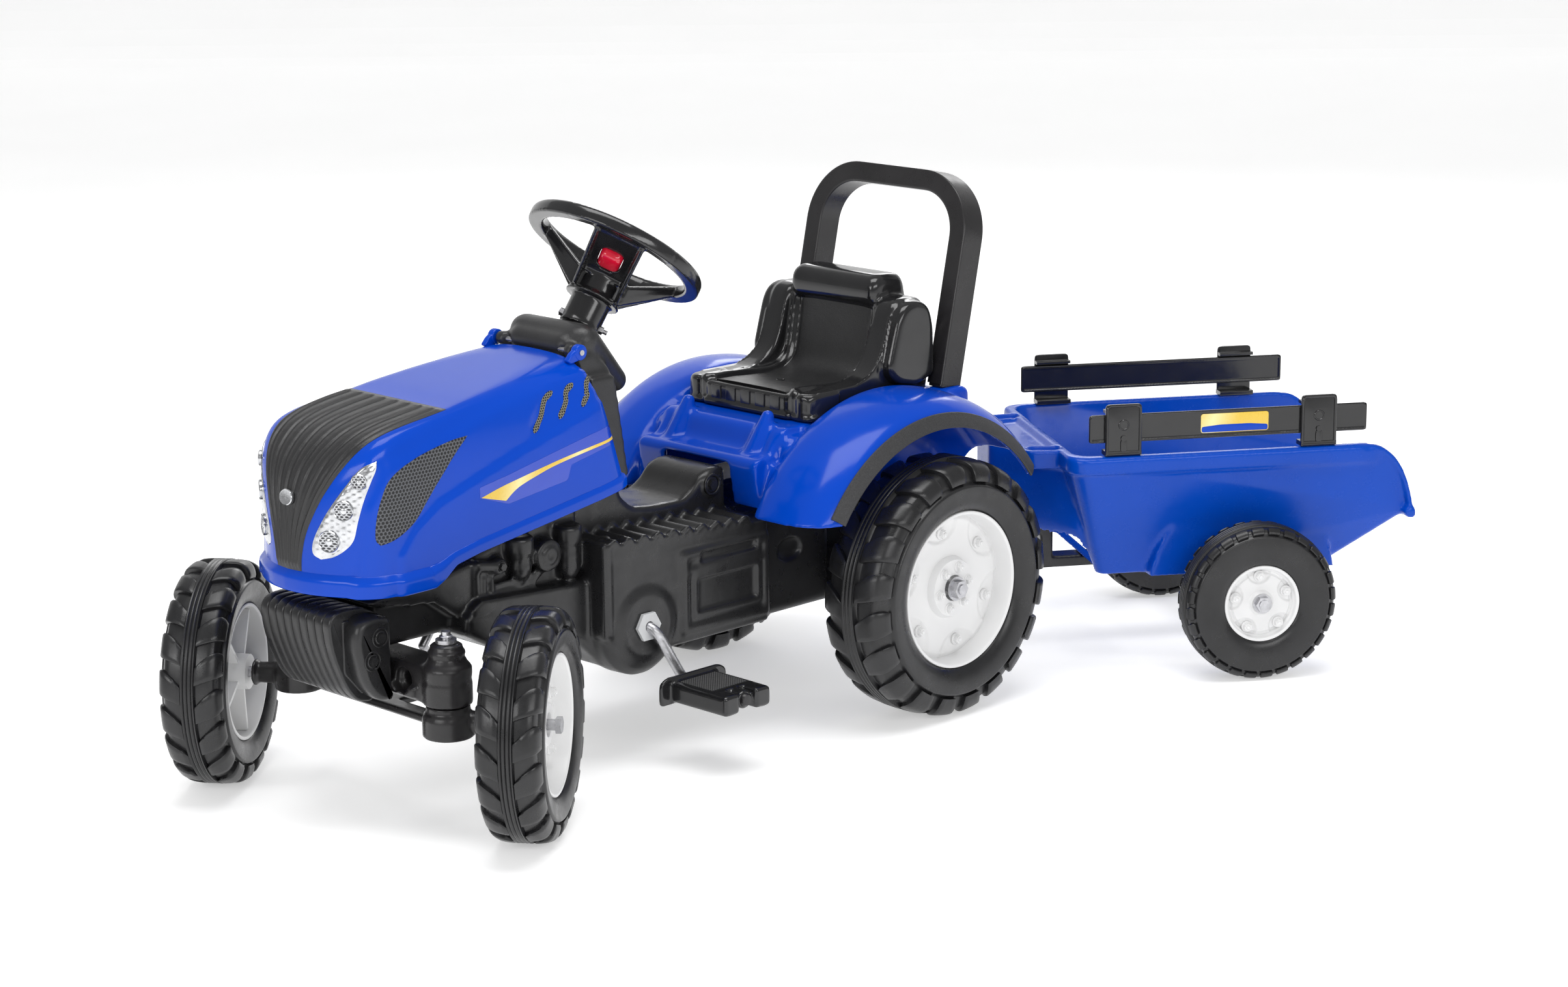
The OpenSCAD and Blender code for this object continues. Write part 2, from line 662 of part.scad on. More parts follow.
knuckle_z = 106;
module knuckle(side) color(black) knuckle_place(side) on_side(side) difference() {
  union() {
    translate([0, 0, knuckle_z]) cylinder(h = 34.4, r = 26);
    rod_y(13, 0, 50, 0, front_r);
    translate([-steer_arm, -11, knuckle_z]) cube([steer_arm, 22, 10]);
    translate([-steer_arm, 0, knuckle_z]) cylinder(h = 10, r = 13);
    translate([-steer_arm, 0, knuckle_z - 14]) cylinder(h = 15, r = 5);
  }
  translate([0, 0, 109.5]) cylinder(h = 40, r = kingpin_r + running);
  rod_y(stub_r, 16, 60, 0, front_r);
}
module knuckle_left() knuckle(1);
module knuckle_right() knuckle(-1);

module stub_axle(side) color(steel) knuckle_place(side) on_side(side) {
  rod_y(stub_r, 16, 116, 0, front_r);
  translate([0, kingpin_to_wheel + 26.5, front_r]) rotate([-90, 0, 0]) hex_prism(16, 6);
}
module stub_axle_left() stub_axle(1);
module stub_axle_right() stub_axle(-1);

// Bar under the beam that joins both knuckle arms; the shaft's pin stands in its fork
tie_z = 96;
module tie_rod() color(black) shifted()
  translate([wheelbase - steer_arm * cos(steer_rest), -steer_arm * sin(steer_rest), tie_z]) difference() {
    union() {
      translate([-11, -kingpin_y, 0]) cube([22, 2 * kingpin_y, 9]);
      for (side = [-1, 1]) translate([0, side * kingpin_y, 0]) cylinder(h = 9, r = 13);
      translate([-62, -12, 0]) cube([52, 24, 9]);
      for (side = [-1, 1]) on_side(side)
        translate([-62, shaft_r + fork_play, 0]) cube([28, 4, 28]);
    }
    translate([0, kingpin_y, -1]) cylinder(h = 12, r = 5 + running);
    // The right pivot is left loose, because the left one already guides the bar
    translate([0, -kingpin_y, -1]) cylinder(h = 12, r = 6);
  }

// ---------- drive ----------

module crankshaft() color(steel) shifted() {
  rod_y(crank_r, -crank_arm_y, crank_arm_y, crank_x, crank_z);
  for (side = [-1, 1]) {
    pin = side * crank_pin;
    y = side * crank_arm_y;
    bar_xz(crank_r, [crank_x, crank_z], [crank_x, crank_z] + pin, y);
    translate([crank_x, y, crank_z]) sphere(r = crank_r);
    translate([crank_x + pin[0], y, crank_z + pin[1]]) {
      sphere(r = crank_r);
      rotate([side > 0 ? -90 : 90, 0, 0]) cylinder(h = pedal_outer_y - crank_arm_y - 2, r = crank_r);
    }
  }
}

module toothed_wheel(pitch_r, teeth, bore_r) difference() {
  union() {
    cylinder(h = 3, r = pitch_r - 4, $fn = 96);
    for (i = [0 : teeth - 1]) rotate([0, 0, i * 360 / teeth])
      translate([pitch_r - 6, -1.2, 0]) cube([7, 2.4, 3]);
  }
  translate([0, 0, -1]) cylinder(h = 5, r = bore_r);
}
module chainwheel() color(steel) shifted()
  translate([crank_x, 1.5, crank_z]) rotate([90, 0, 0]) toothed_wheel(chainwheel_r, 24, crank_r);
module rear_sprocket() color(steel) shifted()
  translate([0, 1.5, rear_r]) rotate([90, 0, 0]) toothed_wheel(sprocket_r, 12, axle_r);

module pedal(side) {
  pin = side * crank_pin;
  length = pedal_outer_y - pedal_inner_y;
  color(black) shifted() translate([crank_x + pin[0], 0, crank_z + pin[1]]) on_side(side) difference() {
    union() {
      translate([-36, pedal_inner_y, -13]) cube([72, length, 24]);
      // Guard plate next to the crank arm
      translate([-50, pedal_inner_y, -15]) cube([100, 4, 32]);
    }
    rod_y(crank_r + running, pedal_inner_y - 1, pedal_outer_y + 1);
    // Finger gap in the outer end
    for (x = [-18, 9]) translate([x, pedal_outer_y - 20, -14]) cube([9, 21, 26]);
  }
}
module pedal_left() pedal(1);
module pedal_right() pedal(-1);

module rear_axle() color(steel) shifted() rod_y(axle_r, -237, 237, 0, rear_r);
module rear_nuts() color(steel) shifted() for (side = [-1, 1]) on_side(side)
  translate([0, rear_half_track + 30.4, rear_r]) rotate([-90, 0, 0]) difference() {
    union() {
      cylinder(h = 1.6, r = 14);
      hex_prism(19, 9);
    }
    translate([0, 0, -1]) cylinder(h = 12, r = axle_r);
  }

// ---------- trailer, drawn from its hitch pin with +X towards the tractor ----------

module corner_post(x, y, z, r, h)
  for (side = [-1, 1]) translate([x, side * y, z]) cylinder(h = h, r = r, $fn = 24);

module tub_form(inset, lift) {
  half_w = tub_w / 2 - inset;
  hull() {
    corner_post(-200 - inset, half_w - 24, tub_top - 4 + lift, 24, 4);
    corner_post(-545 + 12, half_w - 12, tub_top - 4 + lift, 12, 4);
    corner_post(-lip_back + 8 - lift, lip_half_w - 22 - inset, 184 + inset + lift, 8, 4);
    corner_post(-236 - inset, 104 - inset, tub_bottom + inset, 12, 2);
    corner_post(-500 + inset, 104 - inset, tub_bottom + inset, 12, 2);
  }
}
// Nose in front of the tub that covers the drawbar, open at the bottom
module tub_nose() difference() {
  hull() {
    corner_post(-122, 26, 176, 12, 88);
    corner_post(-206, 96, 172, 18, 92);
    corner_post(-206, 58, 122, 12, 60);
  }
  hull() {
    corner_post(-124, 24, 166, 9, 94);
    corner_post(-206, 93, 166, 15, 94);
    corner_post(-206, 55, 110, 10, 60);
  }
}

module trailer_tub() color(tub_blue) trailer_place() difference() {
  union() {
    tub_form(0, 0);
    tub_nose();
    // Rolled rim
    hull() {
      corner_post(-200, tub_w / 2 - 20, tub_top - 22, 26, 22);
      corner_post(-530, tub_w / 2 - 4, tub_top - 14, 10, 14);
    }
    // Down-turned lip at the tail
    translate([-lip_back, -lip_half_w, 178]) cube([8, 2 * lip_half_w, 11]);
  }
  tub_form(shell_wall, 14);
  translate([-640, -200, tub_top]) cube([60, 400, 60]);
}

// Undersides of the two fork plates, and how thick they are
fork_z = [142, 162.3];
fork_t = 7.4;
bar_w = 32;
// Underside of the cross member that carries the axle
cross_z = 80;
module drawbar() color(charcoal) trailer_place() difference() {
  union() {
    // Fork plates above and below the tongue
    for (z = fork_z) {
      translate([-60, -bar_w / 2, z]) cube([60, bar_w, fork_t]);
      translate([0, 0, z]) cylinder(h = fork_t, r = bar_w / 2 + 1.2);
    }
    translate([-196, -bar_w / 2, fork_z[0]]) cube([146, bar_w, fork_z[1] - fork_z[0] + fork_t]);
    translate([-196, -bar_w / 2, 99.5]) cube([16, bar_w, 50]);
    translate([-420, -bar_w / 2, 99.5]) cube([240, bar_w, 14]);
    translate([-trailer_axle_back - 14, -130, cross_z]) cube([28, 260, tub_bottom - 0.3 - cross_z]);
  }
  translate([0, 0, fork_z[0] - 2]) cylinder(h = 40, r = hitch_pin_r + 0.08);
  translate([-trailer_axle_back, -131, trailer_r]) rotate([-90, 0, 0]) cylinder(h = 262, r = axle_r);
}

module trailer_axle() color(steel) trailer_place() rod_y(axle_r, -222, 222, -trailer_axle_back, trailer_r);
module trailer_nuts() color(steel) trailer_place() for (side = [-1, 1]) on_side(side)
  translate([-trailer_axle_back, trailer_half_track + 20.4, trailer_r]) rotate([-90, 0, 0]) difference() {
    union() {
      cylinder(h = 1.6, r = 12);
      hex_prism(17, 7);
    }
    translate([0, 0, -1]) cylinder(h = 12, r = axle_r);
  }

board_front = -199;
board_back = -544;
board_bottom = 285;
board_top = 319;
module side_board(side) color(black) trailer_place() on_side(side)
  translate([board_back, 150, board_bottom]) cube([board_front - board_back, 5, board_top - board_bottom]);
module side_board_left() side_board(1);
module side_board_right() side_board(-1);

// Clips that stand on the rim and hold the boards
bracket_w = 44;
module board_brackets() color(black) trailer_place() for (side = [-1, 1], x = [-262, -504]) on_side(side)
  translate([x, 155.2, tub_top]) union() {
    translate([0, 0, 0.2]) cube([bracket_w, 5, 62]);
    translate([0, -13.4, 0.2]) cube([bracket_w, 18, 6]);
    translate([0, -9.4, 51]) cube([bracket_w, 10, 4]);
  }

// ---------- one line per sub-part ----------

chassis();
weight_block();
front_axle();
kingpins();
kingpin_clips();
dash_cowl();
rear_body();
fender_trim_left();
fender_trim_right();
seat();
roll_hoop();
crank_bushes();
axle_bushes();
chain();
hitch_tongue();
steering_bush();
hood_hinge_pin();
hood();
grille_panel();
headlamp_left();
headlamp_right();
side_grille_left();
side_grille_right();
steering_wheel();
steering_shaft();
column_bolt();
horn_button();
knuckle_left();
knuckle_right();
stub_axle_left();
stub_axle_right();
tie_rod();
front_tyre_left();
front_tyre_right();
front_rim_left();
front_rim_right();
crankshaft();
chainwheel();
pedal_left();
pedal_right();
rear_axle();
rear_sprocket();
rear_nuts();
rear_tyre_left();
rear_tyre_right();
rear_rim_left();
rear_rim_right();
trailer_tub();
drawbar();
trailer_axle();
trailer_nuts();
trailer_tyre_left();
trailer_tyre_right();
trailer_rim_left();
trailer_rim_right();
side_board_left();
side_board_right();
board_brackets();
hitch_pin();
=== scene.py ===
"""Pedal tractor with trailer: looks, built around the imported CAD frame."""

import math

import bmesh
import bpy
import numpy as np
from mathutils import Matrix, Vector


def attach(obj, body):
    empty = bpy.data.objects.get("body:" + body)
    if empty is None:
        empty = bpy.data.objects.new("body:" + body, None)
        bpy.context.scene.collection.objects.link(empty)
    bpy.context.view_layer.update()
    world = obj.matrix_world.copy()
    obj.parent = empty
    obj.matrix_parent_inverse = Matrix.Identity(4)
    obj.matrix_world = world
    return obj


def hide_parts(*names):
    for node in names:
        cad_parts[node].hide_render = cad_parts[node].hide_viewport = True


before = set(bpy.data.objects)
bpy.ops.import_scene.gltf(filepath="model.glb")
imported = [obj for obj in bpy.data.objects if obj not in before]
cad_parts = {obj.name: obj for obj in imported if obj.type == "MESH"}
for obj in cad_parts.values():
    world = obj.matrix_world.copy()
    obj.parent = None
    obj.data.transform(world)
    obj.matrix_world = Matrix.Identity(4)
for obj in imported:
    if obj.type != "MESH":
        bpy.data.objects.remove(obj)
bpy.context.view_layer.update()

# ---------------------------------------------------------------- placing
# Parts are drawn in millimetres from the ground under the rear axle: +X forward, +Y left, +Z up.
MID = (49.4048, 94.3254)
STEER, YAW, LEAN, SPOKE = 36.5, -34.0, 36.5, 48.0
WHEELBASE, KINGPIN, HITCH = 669.0, 125.8, -140.4
CRANK, PIN = (365.0, 156.0), (-45.04, -72.08)


def shift(x, y, z):
    return Matrix.Translation((x, y, z))


def turn(axis, degrees):
    return Matrix.Rotation(math.radians(degrees), 4, axis)


TRACTOR = shift(-MID[0], -MID[1], 0)
TRAILER = TRACTOR @ shift(HITCH, 0, 0) @ turn("Z", YAW)
COLUMN = TRACTOR @ shift(309.6, 0, 553.7) @ turn("Y", -LEAN)
MIRROR = Matrix.Diagonal((1, -1, 1, 1))
SIDES = {"left": 1, "right": -1}


def on_side(side):
    return Matrix.Identity(4) if side > 0 else MIRROR


def knuckle_at(side):
    return TRACTOR @ shift(WHEELBASE, side * KINGPIN, 0) @ turn("Z", STEER)


# ---------------------------------------------------------------- shape helpers
# A part is (points, faces); parts are joined into one object.
def spline(points, n=60, closed=False):
    """Catmull-Rom curve through the points, in n evenly spaced points."""
    p = np.array(points, float)
    q = np.vstack([p[-1], p, p[0], p[1]]) if closed else np.vstack([2 * p[0] - p[1], p, 2 * p[-1] - p[-2]])
    t = np.linspace(0, 1, 24, endpoint=False)[:, None]
    out = []
    for a, b, c, d in zip(q[:-3], q[1:-2], q[2:-1], q[3:]):
        out.append(0.5 * (2 * b + (c - a) * t + (2 * a - 5 * b + 4 * c - d) * t**2
                          + (3 * b - a - 3 * c + d) * t**3))
    out = np.vstack(out + [q[-2][None]])
    return resample(out, n)


def resample(line, n):
    line = np.array(line, float)
    s = np.concatenate([[0], np.cumsum(np.linalg.norm(np.diff(line, axis=0), axis=1))])
    k = np.linspace(0, s[-1], n)
    return np.stack([np.interp(k, s, line[:, j]) for j in range(line.shape[1])], 1)


def rounded(points, radius, steps=4, closed=True):
    """The outline with each corner rounded."""
    p = np.array(points, float)
    n, out = len(p), []
    for i in range(n):
        if not closed and i in (0, n - 1):
            out.append(p[i])
            continue
        r = radius[i] if hasattr(radius, "__len__") else radius
        a, b, c = p[i - 1], p[i], p[(i + 1) % n]
        la, lc = np.linalg.norm(a - b), np.linalg.norm(c - b)
        ra, rc = min(r, 0.49 * la), min(r, 0.49 * lc)
        start, end = b + (a - b) / la * ra, b + (c - b) / lc * rc
        for t in np.linspace(0, 1, steps + 1):
            out.append((1 - t) ** 2 * start + 2 * t * (1 - t) * b + t * t * end)
    return np.array(out)


def join(*parts):
    v, f, n = [], [], 0
    for pv, pf in parts:
        v.append(np.asarray(pv, float).reshape(-1, 3))
        f += [tuple(i + n for i in face) for face in pf]
        n += len(v[-1])
    return np.concatenate(v), f


def put(part, m):
    m = np.array(m)
    v = np.asarray(part[0], float) @ m[:3, :3].T + m[:3, 3]
    return v, (part[1] if np.linalg.det(m[:3, :3]) > 0 else [f[::-1] for f in part[1]])


def both(part):
    return join(part, put(part, MIRROR))


def grid(points, close_u=False, close_v=False, caps=False):
    p = np.asarray(points, float)
    nu, nv = p.shape[:2]
    faces = []
    for i in range(nu if close_u else nu - 1):
        for j in range(nv if close_v else nv - 1):
            a, b = i * nv + j, ((i + 1) % nu) * nv + j
            k = (j + 1) % nv - j
            faces.append((a, b, b + k, a + k))
    if caps:
        faces += [tuple(range(nv))[::-1], tuple((nu - 1) * nv + j for j in range(nv))]
    return p.reshape(-1, 3), faces


def plate(outline, a, b, plane="xz"):
    """A flat outline made solid between a and b on the third axis."""
    o = np.asarray(outline, float)
    order = {"xz": (0, 2, 1), "yz": (1, 2, 0), "xy": (0, 1, 2)}[plane]
    pts = np.zeros((2, len(o), 3))
    for k, at in enumerate((a, b)):
        pts[k, :, order[0]], pts[k, :, order[1]], pts[k, :, order[2]] = o[:, 0], o[:, 1], at
    return grid(pts, close_v=True, caps=True)


def block(x0, x1, y0, y1, z0, z1):
    return plate([(x0, z0), (x1, z0), (x1, z1), (x0, z1)], y0, y1)


def rod(p0, p1, r0, r1=None, n=32):
    """A round bar or cone between two points."""
    p0, p1 = Vector(p0), Vector(p1)
    m = Matrix.Translation(p0) @ (p1 - p0).to_track_quat("Z", "Y").to_matrix().to_4x4()
    length = (p1 - p0).length
    return put(lathe([(0, 0), (r0, 0), (r0 if r1 is None else r1, length), (0, length)], n), m)


def lathe(profile, n=64, axis="Z", arc=360.0, start=0.0):
    """A profile of (radius, height) points turned about an axis."""
    p = np.asarray(profile, float)
    full = abs(arc) >= 360
    a = np.radians(start + np.linspace(0, arc, n, endpoint=not full))
    pts = np.zeros((n, len(p), 3))
    if axis == "Z":
        pts[..., 0], pts[..., 1], pts[..., 2] = np.outer(np.cos(a), p[:, 0]), np.outer(np.sin(a),
                p[:, 0]), p[:, 1]
    else:
        pts[..., 0], pts[..., 2], pts[..., 1] = np.outer(np.sin(a), p[:, 0]), np.outer(np.cos(a),
                p[:, 0]), p[:, 1]
    closed = np.linalg.norm(p[0] - p[-1]) > 1e-6 and (p[0, 0] > 1e-6 or p[-1, 0] > 1e-6)
    return grid(pts, close_u=full, close_v=closed, caps=not full)


def sweep(path, section, up=(0, 0, 1), closed=False, scale=None):
    """A section of (side, up) points carried along a path."""
    path, section = np.asarray(path, float), np.asarray(section, float)
    ahead = np.roll(path, -1, 0) - np.roll(path, 1, 0)
    if not closed:
        ahead[0], ahead[-1] = path[1] - path[0], path[-1] - path[-2]
    ahead /= np.linalg.norm(ahead, axis=1)[:, None]
    up = np.broadcast_to(np.asarray(up, float), path.shape)
    side = np.cross(ahead, up)
    side /= np.linalg.norm(side, axis=1)[:, None]
    top = np.cross(side, ahead)
    sc = np.ones((len(path), 2)) if scale is None else np.asarray(scale, float)
    pts = (path[:, None] + side[:, None] * (section[None, :, :1] * sc[:, None, :1])
           + top[:, None] * (section[None, :, 1:] * sc[:, None, 1:]))
    return grid(pts, close_u=closed, close_v=True, caps=not closed)


def circle(r, n=16, rz=None):
    a = np.linspace(0, 2 * math.pi, n, endpoint=False)
    return np.stack([r * np.cos(a), (r if rz is None else rz) * np.sin(a)], 1)


def pipe(points, r, n=14, smooth=0):
    pts = spline(points, smooth) if smooth else np.asarray(points, float)
    d = np.ptp(pts, axis=0)
    up = np.eye(3)[int(np.argmin(d))]
    return sweep(pts, circle(r, n), up=up)


def box2(w, h, r=0.0):
    o = [(-w / 2, -h / 2), (w / 2, -h / 2), (w / 2, h / 2), (-w / 2, h / 2)]
    return rounded(o, r, 4) if r else np.array(o)


def hexagon(across):
    r = across / 2 / math.cos(math.pi / 6)
    return [(r * math.cos(math.radians(60 * k)), r * math.sin(math.radians(60 * k))) for k in range(6)]


def hex_bolt(across=9.0, h=5.0, washer=6.6, tip=2.4):
    """A bolt head on its washer, standing along +Y."""
    parts = [lathe([(0, -1), (washer, -1), (washer, 1.0), (washer - 0.8, 1.6), (0, 1.6)], 24, "Y"),
             plate(hexagon(across), 1.0, 1.4 + h * 0.8),
             plate(np.array(hexagon(across)) * 0.86, 1.3 + h * 0.75, 1.4 + h)]
    if tip:
        parts.append(lathe([(0, h), (tip, h), (tip, h + 2.4), (tip - 0.8, h + 3), (0, h + 3)], 16, "Y"))
    return join(*parts)


def ring_of(part, n, radius, start=0.0):
    """Copies of a part around the Y axis."""
    return join(*[put(part, turn("Y", start + 360 * k / n) @ shift(0, 0, radius)) for k in range(n)])


# ---------------------------------------------------------------- making pieces
def bake(o):
    bpy.context.view_layer.update()
    me = bpy.data.meshes.new_from_object(o.evaluated_get(bpy.context.evaluated_depsgraph_get()))
    o.modifiers.clear()
    o.data = me


def relax(me, times):
    n = len(me.vertices)
    co = np.empty(n * 3)
    me.vertices.foreach_get("co", co)
    co = co.reshape(-1, 3)
    e = np.empty(len(me.edges) * 2, int)
    me.edges.foreach_get("vertices", e)
    a, b = e.reshape(-1, 2).T
    count = np.maximum(np.bincount(a, minlength=n) + np.bincount(b, minlength=n), 1)[:, None]
    for _ in range(times):
        s = np.stack([np.bincount(a, co[b, k], n) + np.bincount(b, co[a, k], n) for k in range(3)], 1)
        co = co + 0.5 * (s / count - co)
    me.vertices.foreach_set("co", co.ravel())
    me.update()


def build(name, part, m):
    v, f = part
    me = bpy.data.meshes.new(name)
    pts = (np.asarray(v) @ np.array(m)[:3, :3].T + np.array(m)[:3, 3]) / 1000
    me.from_pydata(pts.tolist(), [], f)
    bm = bmesh.new()
    bm.from_mesh(me)
    bmesh.ops.remove_doubles(bm, verts=bm.verts, dist=2e-6)
    bmesh.ops.dissolve_degenerate(bm, dist=1e-6, edges=bm.edges)
    bmesh.ops.recalc_face_normals(bm, faces=bm.faces)
    bm.to_mesh(me)
    bm.free()
    o = bpy.data.objects.new(name, me)
    bpy.context.scene.collection.objects.link(o)
    return o


def skin(o, voxel):
    """Fuses overlapping closed parts into one even mesh."""
    mod = o.modifiers.new("skin", "REMESH")
    mod.mode, mod.voxel_size = "VOXEL", voxel / 1000
    bake(o)


def piece(name, part, body, material, replaces=(), m=TRACTOR, bevel=0.0, voxel=0.0, soften=0, cut=None,
          sharp=38, levels=0):
    """One piece of the object. bevel and voxel are in millimetres."""
    o = build(name, part, m)
    if voxel:
        skin(o, voxel)
    if cut is not None:
        tool = build(name + "_cut", cut, m)
        if voxel:
            skin(tool, 0.8 * voxel)
        mod = o.modifiers.new("cut", "BOOLEAN")
        mod.operation, mod.object, mod.solver = "DIFFERENCE", tool, "MANIFOLD" if voxel else "EXACT"
        bake(o)
        bpy.data.objects.remove(tool)
        if voxel:
            skin(o, voxel)
    if soften:
        relax(o.data, soften)
    if bevel:
        mod = o.modifiers.new("edge", "BEVEL")
        mod.width, mod.segments = bevel / 1000, 3
        mod.limit_method, mod.angle_limit = "ANGLE", math.radians(32)
        bake(o)
    if levels:
        mod = o.modifiers.new("round", "SUBSURF")
        mod.levels = mod.render_levels = levels
        bake(o)
    me = o.data
    me.polygons.foreach_set("use_smooth", [True] * len(me.polygons))
    me.set_sharp_from_angle(angle=math.radians(sharp))
    me.materials.clear()
    me.materials.append(material)
    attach(o, body)
    if replaces:
        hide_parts(*([replaces] if isinstance(replaces, str) else replaces))
    return o


# ---------------------------------------------------------------- materials
def nodes_of(name, rough, metallic=0.0, coat=0.0, coat_rough=0.05, specular=0.5):
    m = bpy.data.materials.new(name)
    m.use_nodes = True
    nt = m.node_tree
    nt.nodes.clear()
    out = nt.nodes.new("ShaderNodeOutputMaterial")
    p = nt.nodes.new("ShaderNodeBsdfPrincipled")
    nt.links.new(p.outputs[0], out.inputs[0])
    p.inputs["Roughness"].default_value = rough
    p.inputs["Metallic"].default_value = metallic
    p.inputs["Coat Weight"].default_value = coat
    p.inputs["Coat Roughness"].default_value = coat_rough
    p.inputs["Specular IOR Level"].default_value = specular
    return m, nt, p, nt.nodes.new("ShaderNodeTexCoord").outputs["Object"]


def stretched(nt, coords, scale):
    mp = nt.nodes.new("ShaderNodeMapping")
    mp.inputs["Scale"].default_value = scale
    nt.links.new(coords, mp.inputs["Vector"])
    return mp.outputs[0]


def noise(nt, coords, scale, detail=4.0, rough=0.55):
    n = nt.nodes.new("ShaderNodeTexNoise")
    n.inputs["Scale"].default_value = scale
    n.inputs["Detail"].default_value = detail
    n.inputs["Roughness"].default_value = rough
    nt.links.new(coords, n.inputs["Vector"])
    return n.outputs["Fac"]


def cells(nt, coords, scale, feature="F1"):
    n = nt.nodes.new("ShaderNodeTexVoronoi")
    n.feature = feature
    n.inputs["Scale"].default_value = scale
    nt.links.new(coords, n.inputs["Vector"])
    return n.outputs["Distance"]


def ramp(nt, value, stops):
    r = nt.nodes.new("ShaderNodeValToRGB")
    while len(r.color_ramp.elements) < len(stops):
        r.color_ramp.elements.new(0.5)
    for e, (at, colour) in zip(r.color_ramp.elements, stops):
        e.position, e.color = at, (*colour, 1)
    nt.links.new(value, r.inputs[0])
    return r.outputs[0]


def span(nt, value, low, high):
    r = nt.nodes.new("ShaderNodeMapRange")
    r.inputs["From Min"].default_value, r.inputs["From Max"].default_value = 0.3, 0.7
    r.inputs["To Min"].default_value, r.inputs["To Max"].default_value = low, high
    nt.links.new(value, r.inputs["Value"])
    return r.outputs[0]


def bump(nt, p, height, depth, strength=1.0):
    """Adds a bump of this depth, in millimetres, to those already there."""
    b = nt.nodes.new("ShaderNodeBump")
    b.inputs["Strength"].default_value, b.inputs["Distance"].default_value = strength, depth / 1000
    nt.links.new(height, b.inputs["Height"])
    old = p.inputs["Normal"]
    if old.is_linked:
        nt.links.new(old.links[0].from_socket, b.inputs["Normal"])
    nt.links.new(b.outputs[0], old)


def moulded(name, colour, rough, grain=0.0, grain_scale=1500.0, vary=0.14, tone=11.0, leather=0.0,
            streak=0.0, peel=0.04, metallic=0.0, coat=0.0, specular=0.5, scuff=0.06):
    """Moulded plastic: soft tone changes, uneven gloss, flow ripple and an optional grain."""
    m, nt, p, at = nodes_of(name, rough, metallic, coat, 0.06, specular)
    dark, light = ([c * (1 - vary) for c in colour], [min(1, c * (1 + vary) + 0.004 * vary) for c in colour])
    nt.links.new(ramp(nt, noise(nt, at, tone, 6), [(0.3, dark), (0.52, colour), (0.74, light)]),
                 p.inputs["Base Color"])
    smear = noise(nt, at, 46, 7, 0.62)
    nt.links.new(span(nt, smear, max(0.02, rough - scuff), rough + scuff), p.inputs["Roughness"])
    if peel:
        bump(nt, p, noise(nt, at, 60, 2), peel * 3)
    if streak:
        bump(nt, p, noise(nt, stretched(nt, at, (260, 260, 2600)), 1, 3), streak)
    if grain:
        bump(nt, p, noise(nt, at, grain_scale, 3, 0.6), grain)
    if leather:
        bump(nt, p, cells(nt, at, grain_scale * 0.5, "DISTANCE_TO_EDGE"), leather)
        bump(nt, p, noise(nt, at, grain_scale * 0.3, 4), leather)
    return m


def zinc(name, colour, rough=0.34):
    """Zinc-plated steel: fine brushing, cloudy plating."""
    m, nt, p, at = nodes_of(name, rough, 1.0)
    cloud = noise(nt, at, 90, 6, 0.65)
    nt.links.new(ramp(nt, cloud, [(0.25, [c * 0.72 for c in colour]), (0.6, colour),
                                  (0.85, [min(1, c * 1.2) for c in colour])]),
                 p.inputs["Base Color"])
    nt.links.new(span(nt, noise(nt, at, 300, 5), rough - 0.1, rough + 0.14), p.inputs["Roughness"])
    bump(nt, p, noise(nt, stretched(nt, at, (3200, 500, 500)), 1, 3), 0.06)
    bump(nt, p, noise(nt, at, 140, 3), 0.12)
    return m


def honeycomb(name, pitch, painted_cell_shading, rib, flat=(1, 0, 1), depth=0.5, rough=0.4):
    """Rows of round holes in a dark sheet, seen square to the flat axes. The holes get a flat colour as
    painted shade, the pedal's lighter cells are a painted highlight on its studs, and the middle of each web
    is painted lighter as a painted highlight.
    """
    m, nt, p, at = nodes_of(name, rough)
    dist = []
    for k in (0.0, 0.5):
        size = (1.0, 1.0, math.sqrt(3))
        mp = nt.nodes.new("ShaderNodeMapping")
        mp.inputs["Scale"].default_value = [f * 1000 / pitch for f in flat]
        mp.inputs["Location"].default_value = [400 + s * k for s in size]
        nt.links.new(at, mp.inputs["Vector"])
        mod = nt.nodes.new("ShaderNodeVectorMath")
        mod.operation = "MODULO"
        mod.inputs[1].default_value = size
        nt.links.new(mp.outputs[0], mod.inputs[0])
        sub = nt.nodes.new("ShaderNodeVectorMath")
        sub.operation = "SUBTRACT"
        sub.inputs[1].default_value = [s / 2 for s in size]
        nt.links.new(mod.outputs[0], sub.inputs[0])
        mul = nt.nodes.new("ShaderNodeVectorMath")
        mul.operation = "MULTIPLY"
        mul.inputs[1].default_value = [1 if f else 0 for f in flat]
        nt.links.new(sub.outputs[0], mul.inputs[0])
        length = nt.nodes.new("ShaderNodeVectorMath")
        length.operation = "LENGTH"
        nt.links.new(mul.outputs[0], length.inputs[0])
        dist.append(length.outputs["Value"])
    low = nt.nodes.new("ShaderNodeMath")
    low.operation = "MINIMUM"
    nt.links.new(dist[0], low.inputs[0])
    nt.links.new(dist[1], low.inputs[1])
    # Painted shading: near-black cells stand in for the shade inside the holes, lighter cells on the pedal
    # for a highlight on its studs, and the lighter web middles for a highlight on the webs.
    nt.links.new(ramp(nt, low.outputs[0], [(0.26, painted_cell_shading), (0.40, rib), (0.50, [c * 1.5 for c in rib])]),
                 p.inputs["Base Color"])
    bump(nt, p, ramp(nt, low.outputs[0], [(0.24, (0, 0, 0)), (0.42, (1, 1, 1))]), depth)
    nt.links.new(span(nt, noise(nt, at, 200), rough - 0.08, rough + 0.1), p.inputs["Roughness"])
    return m


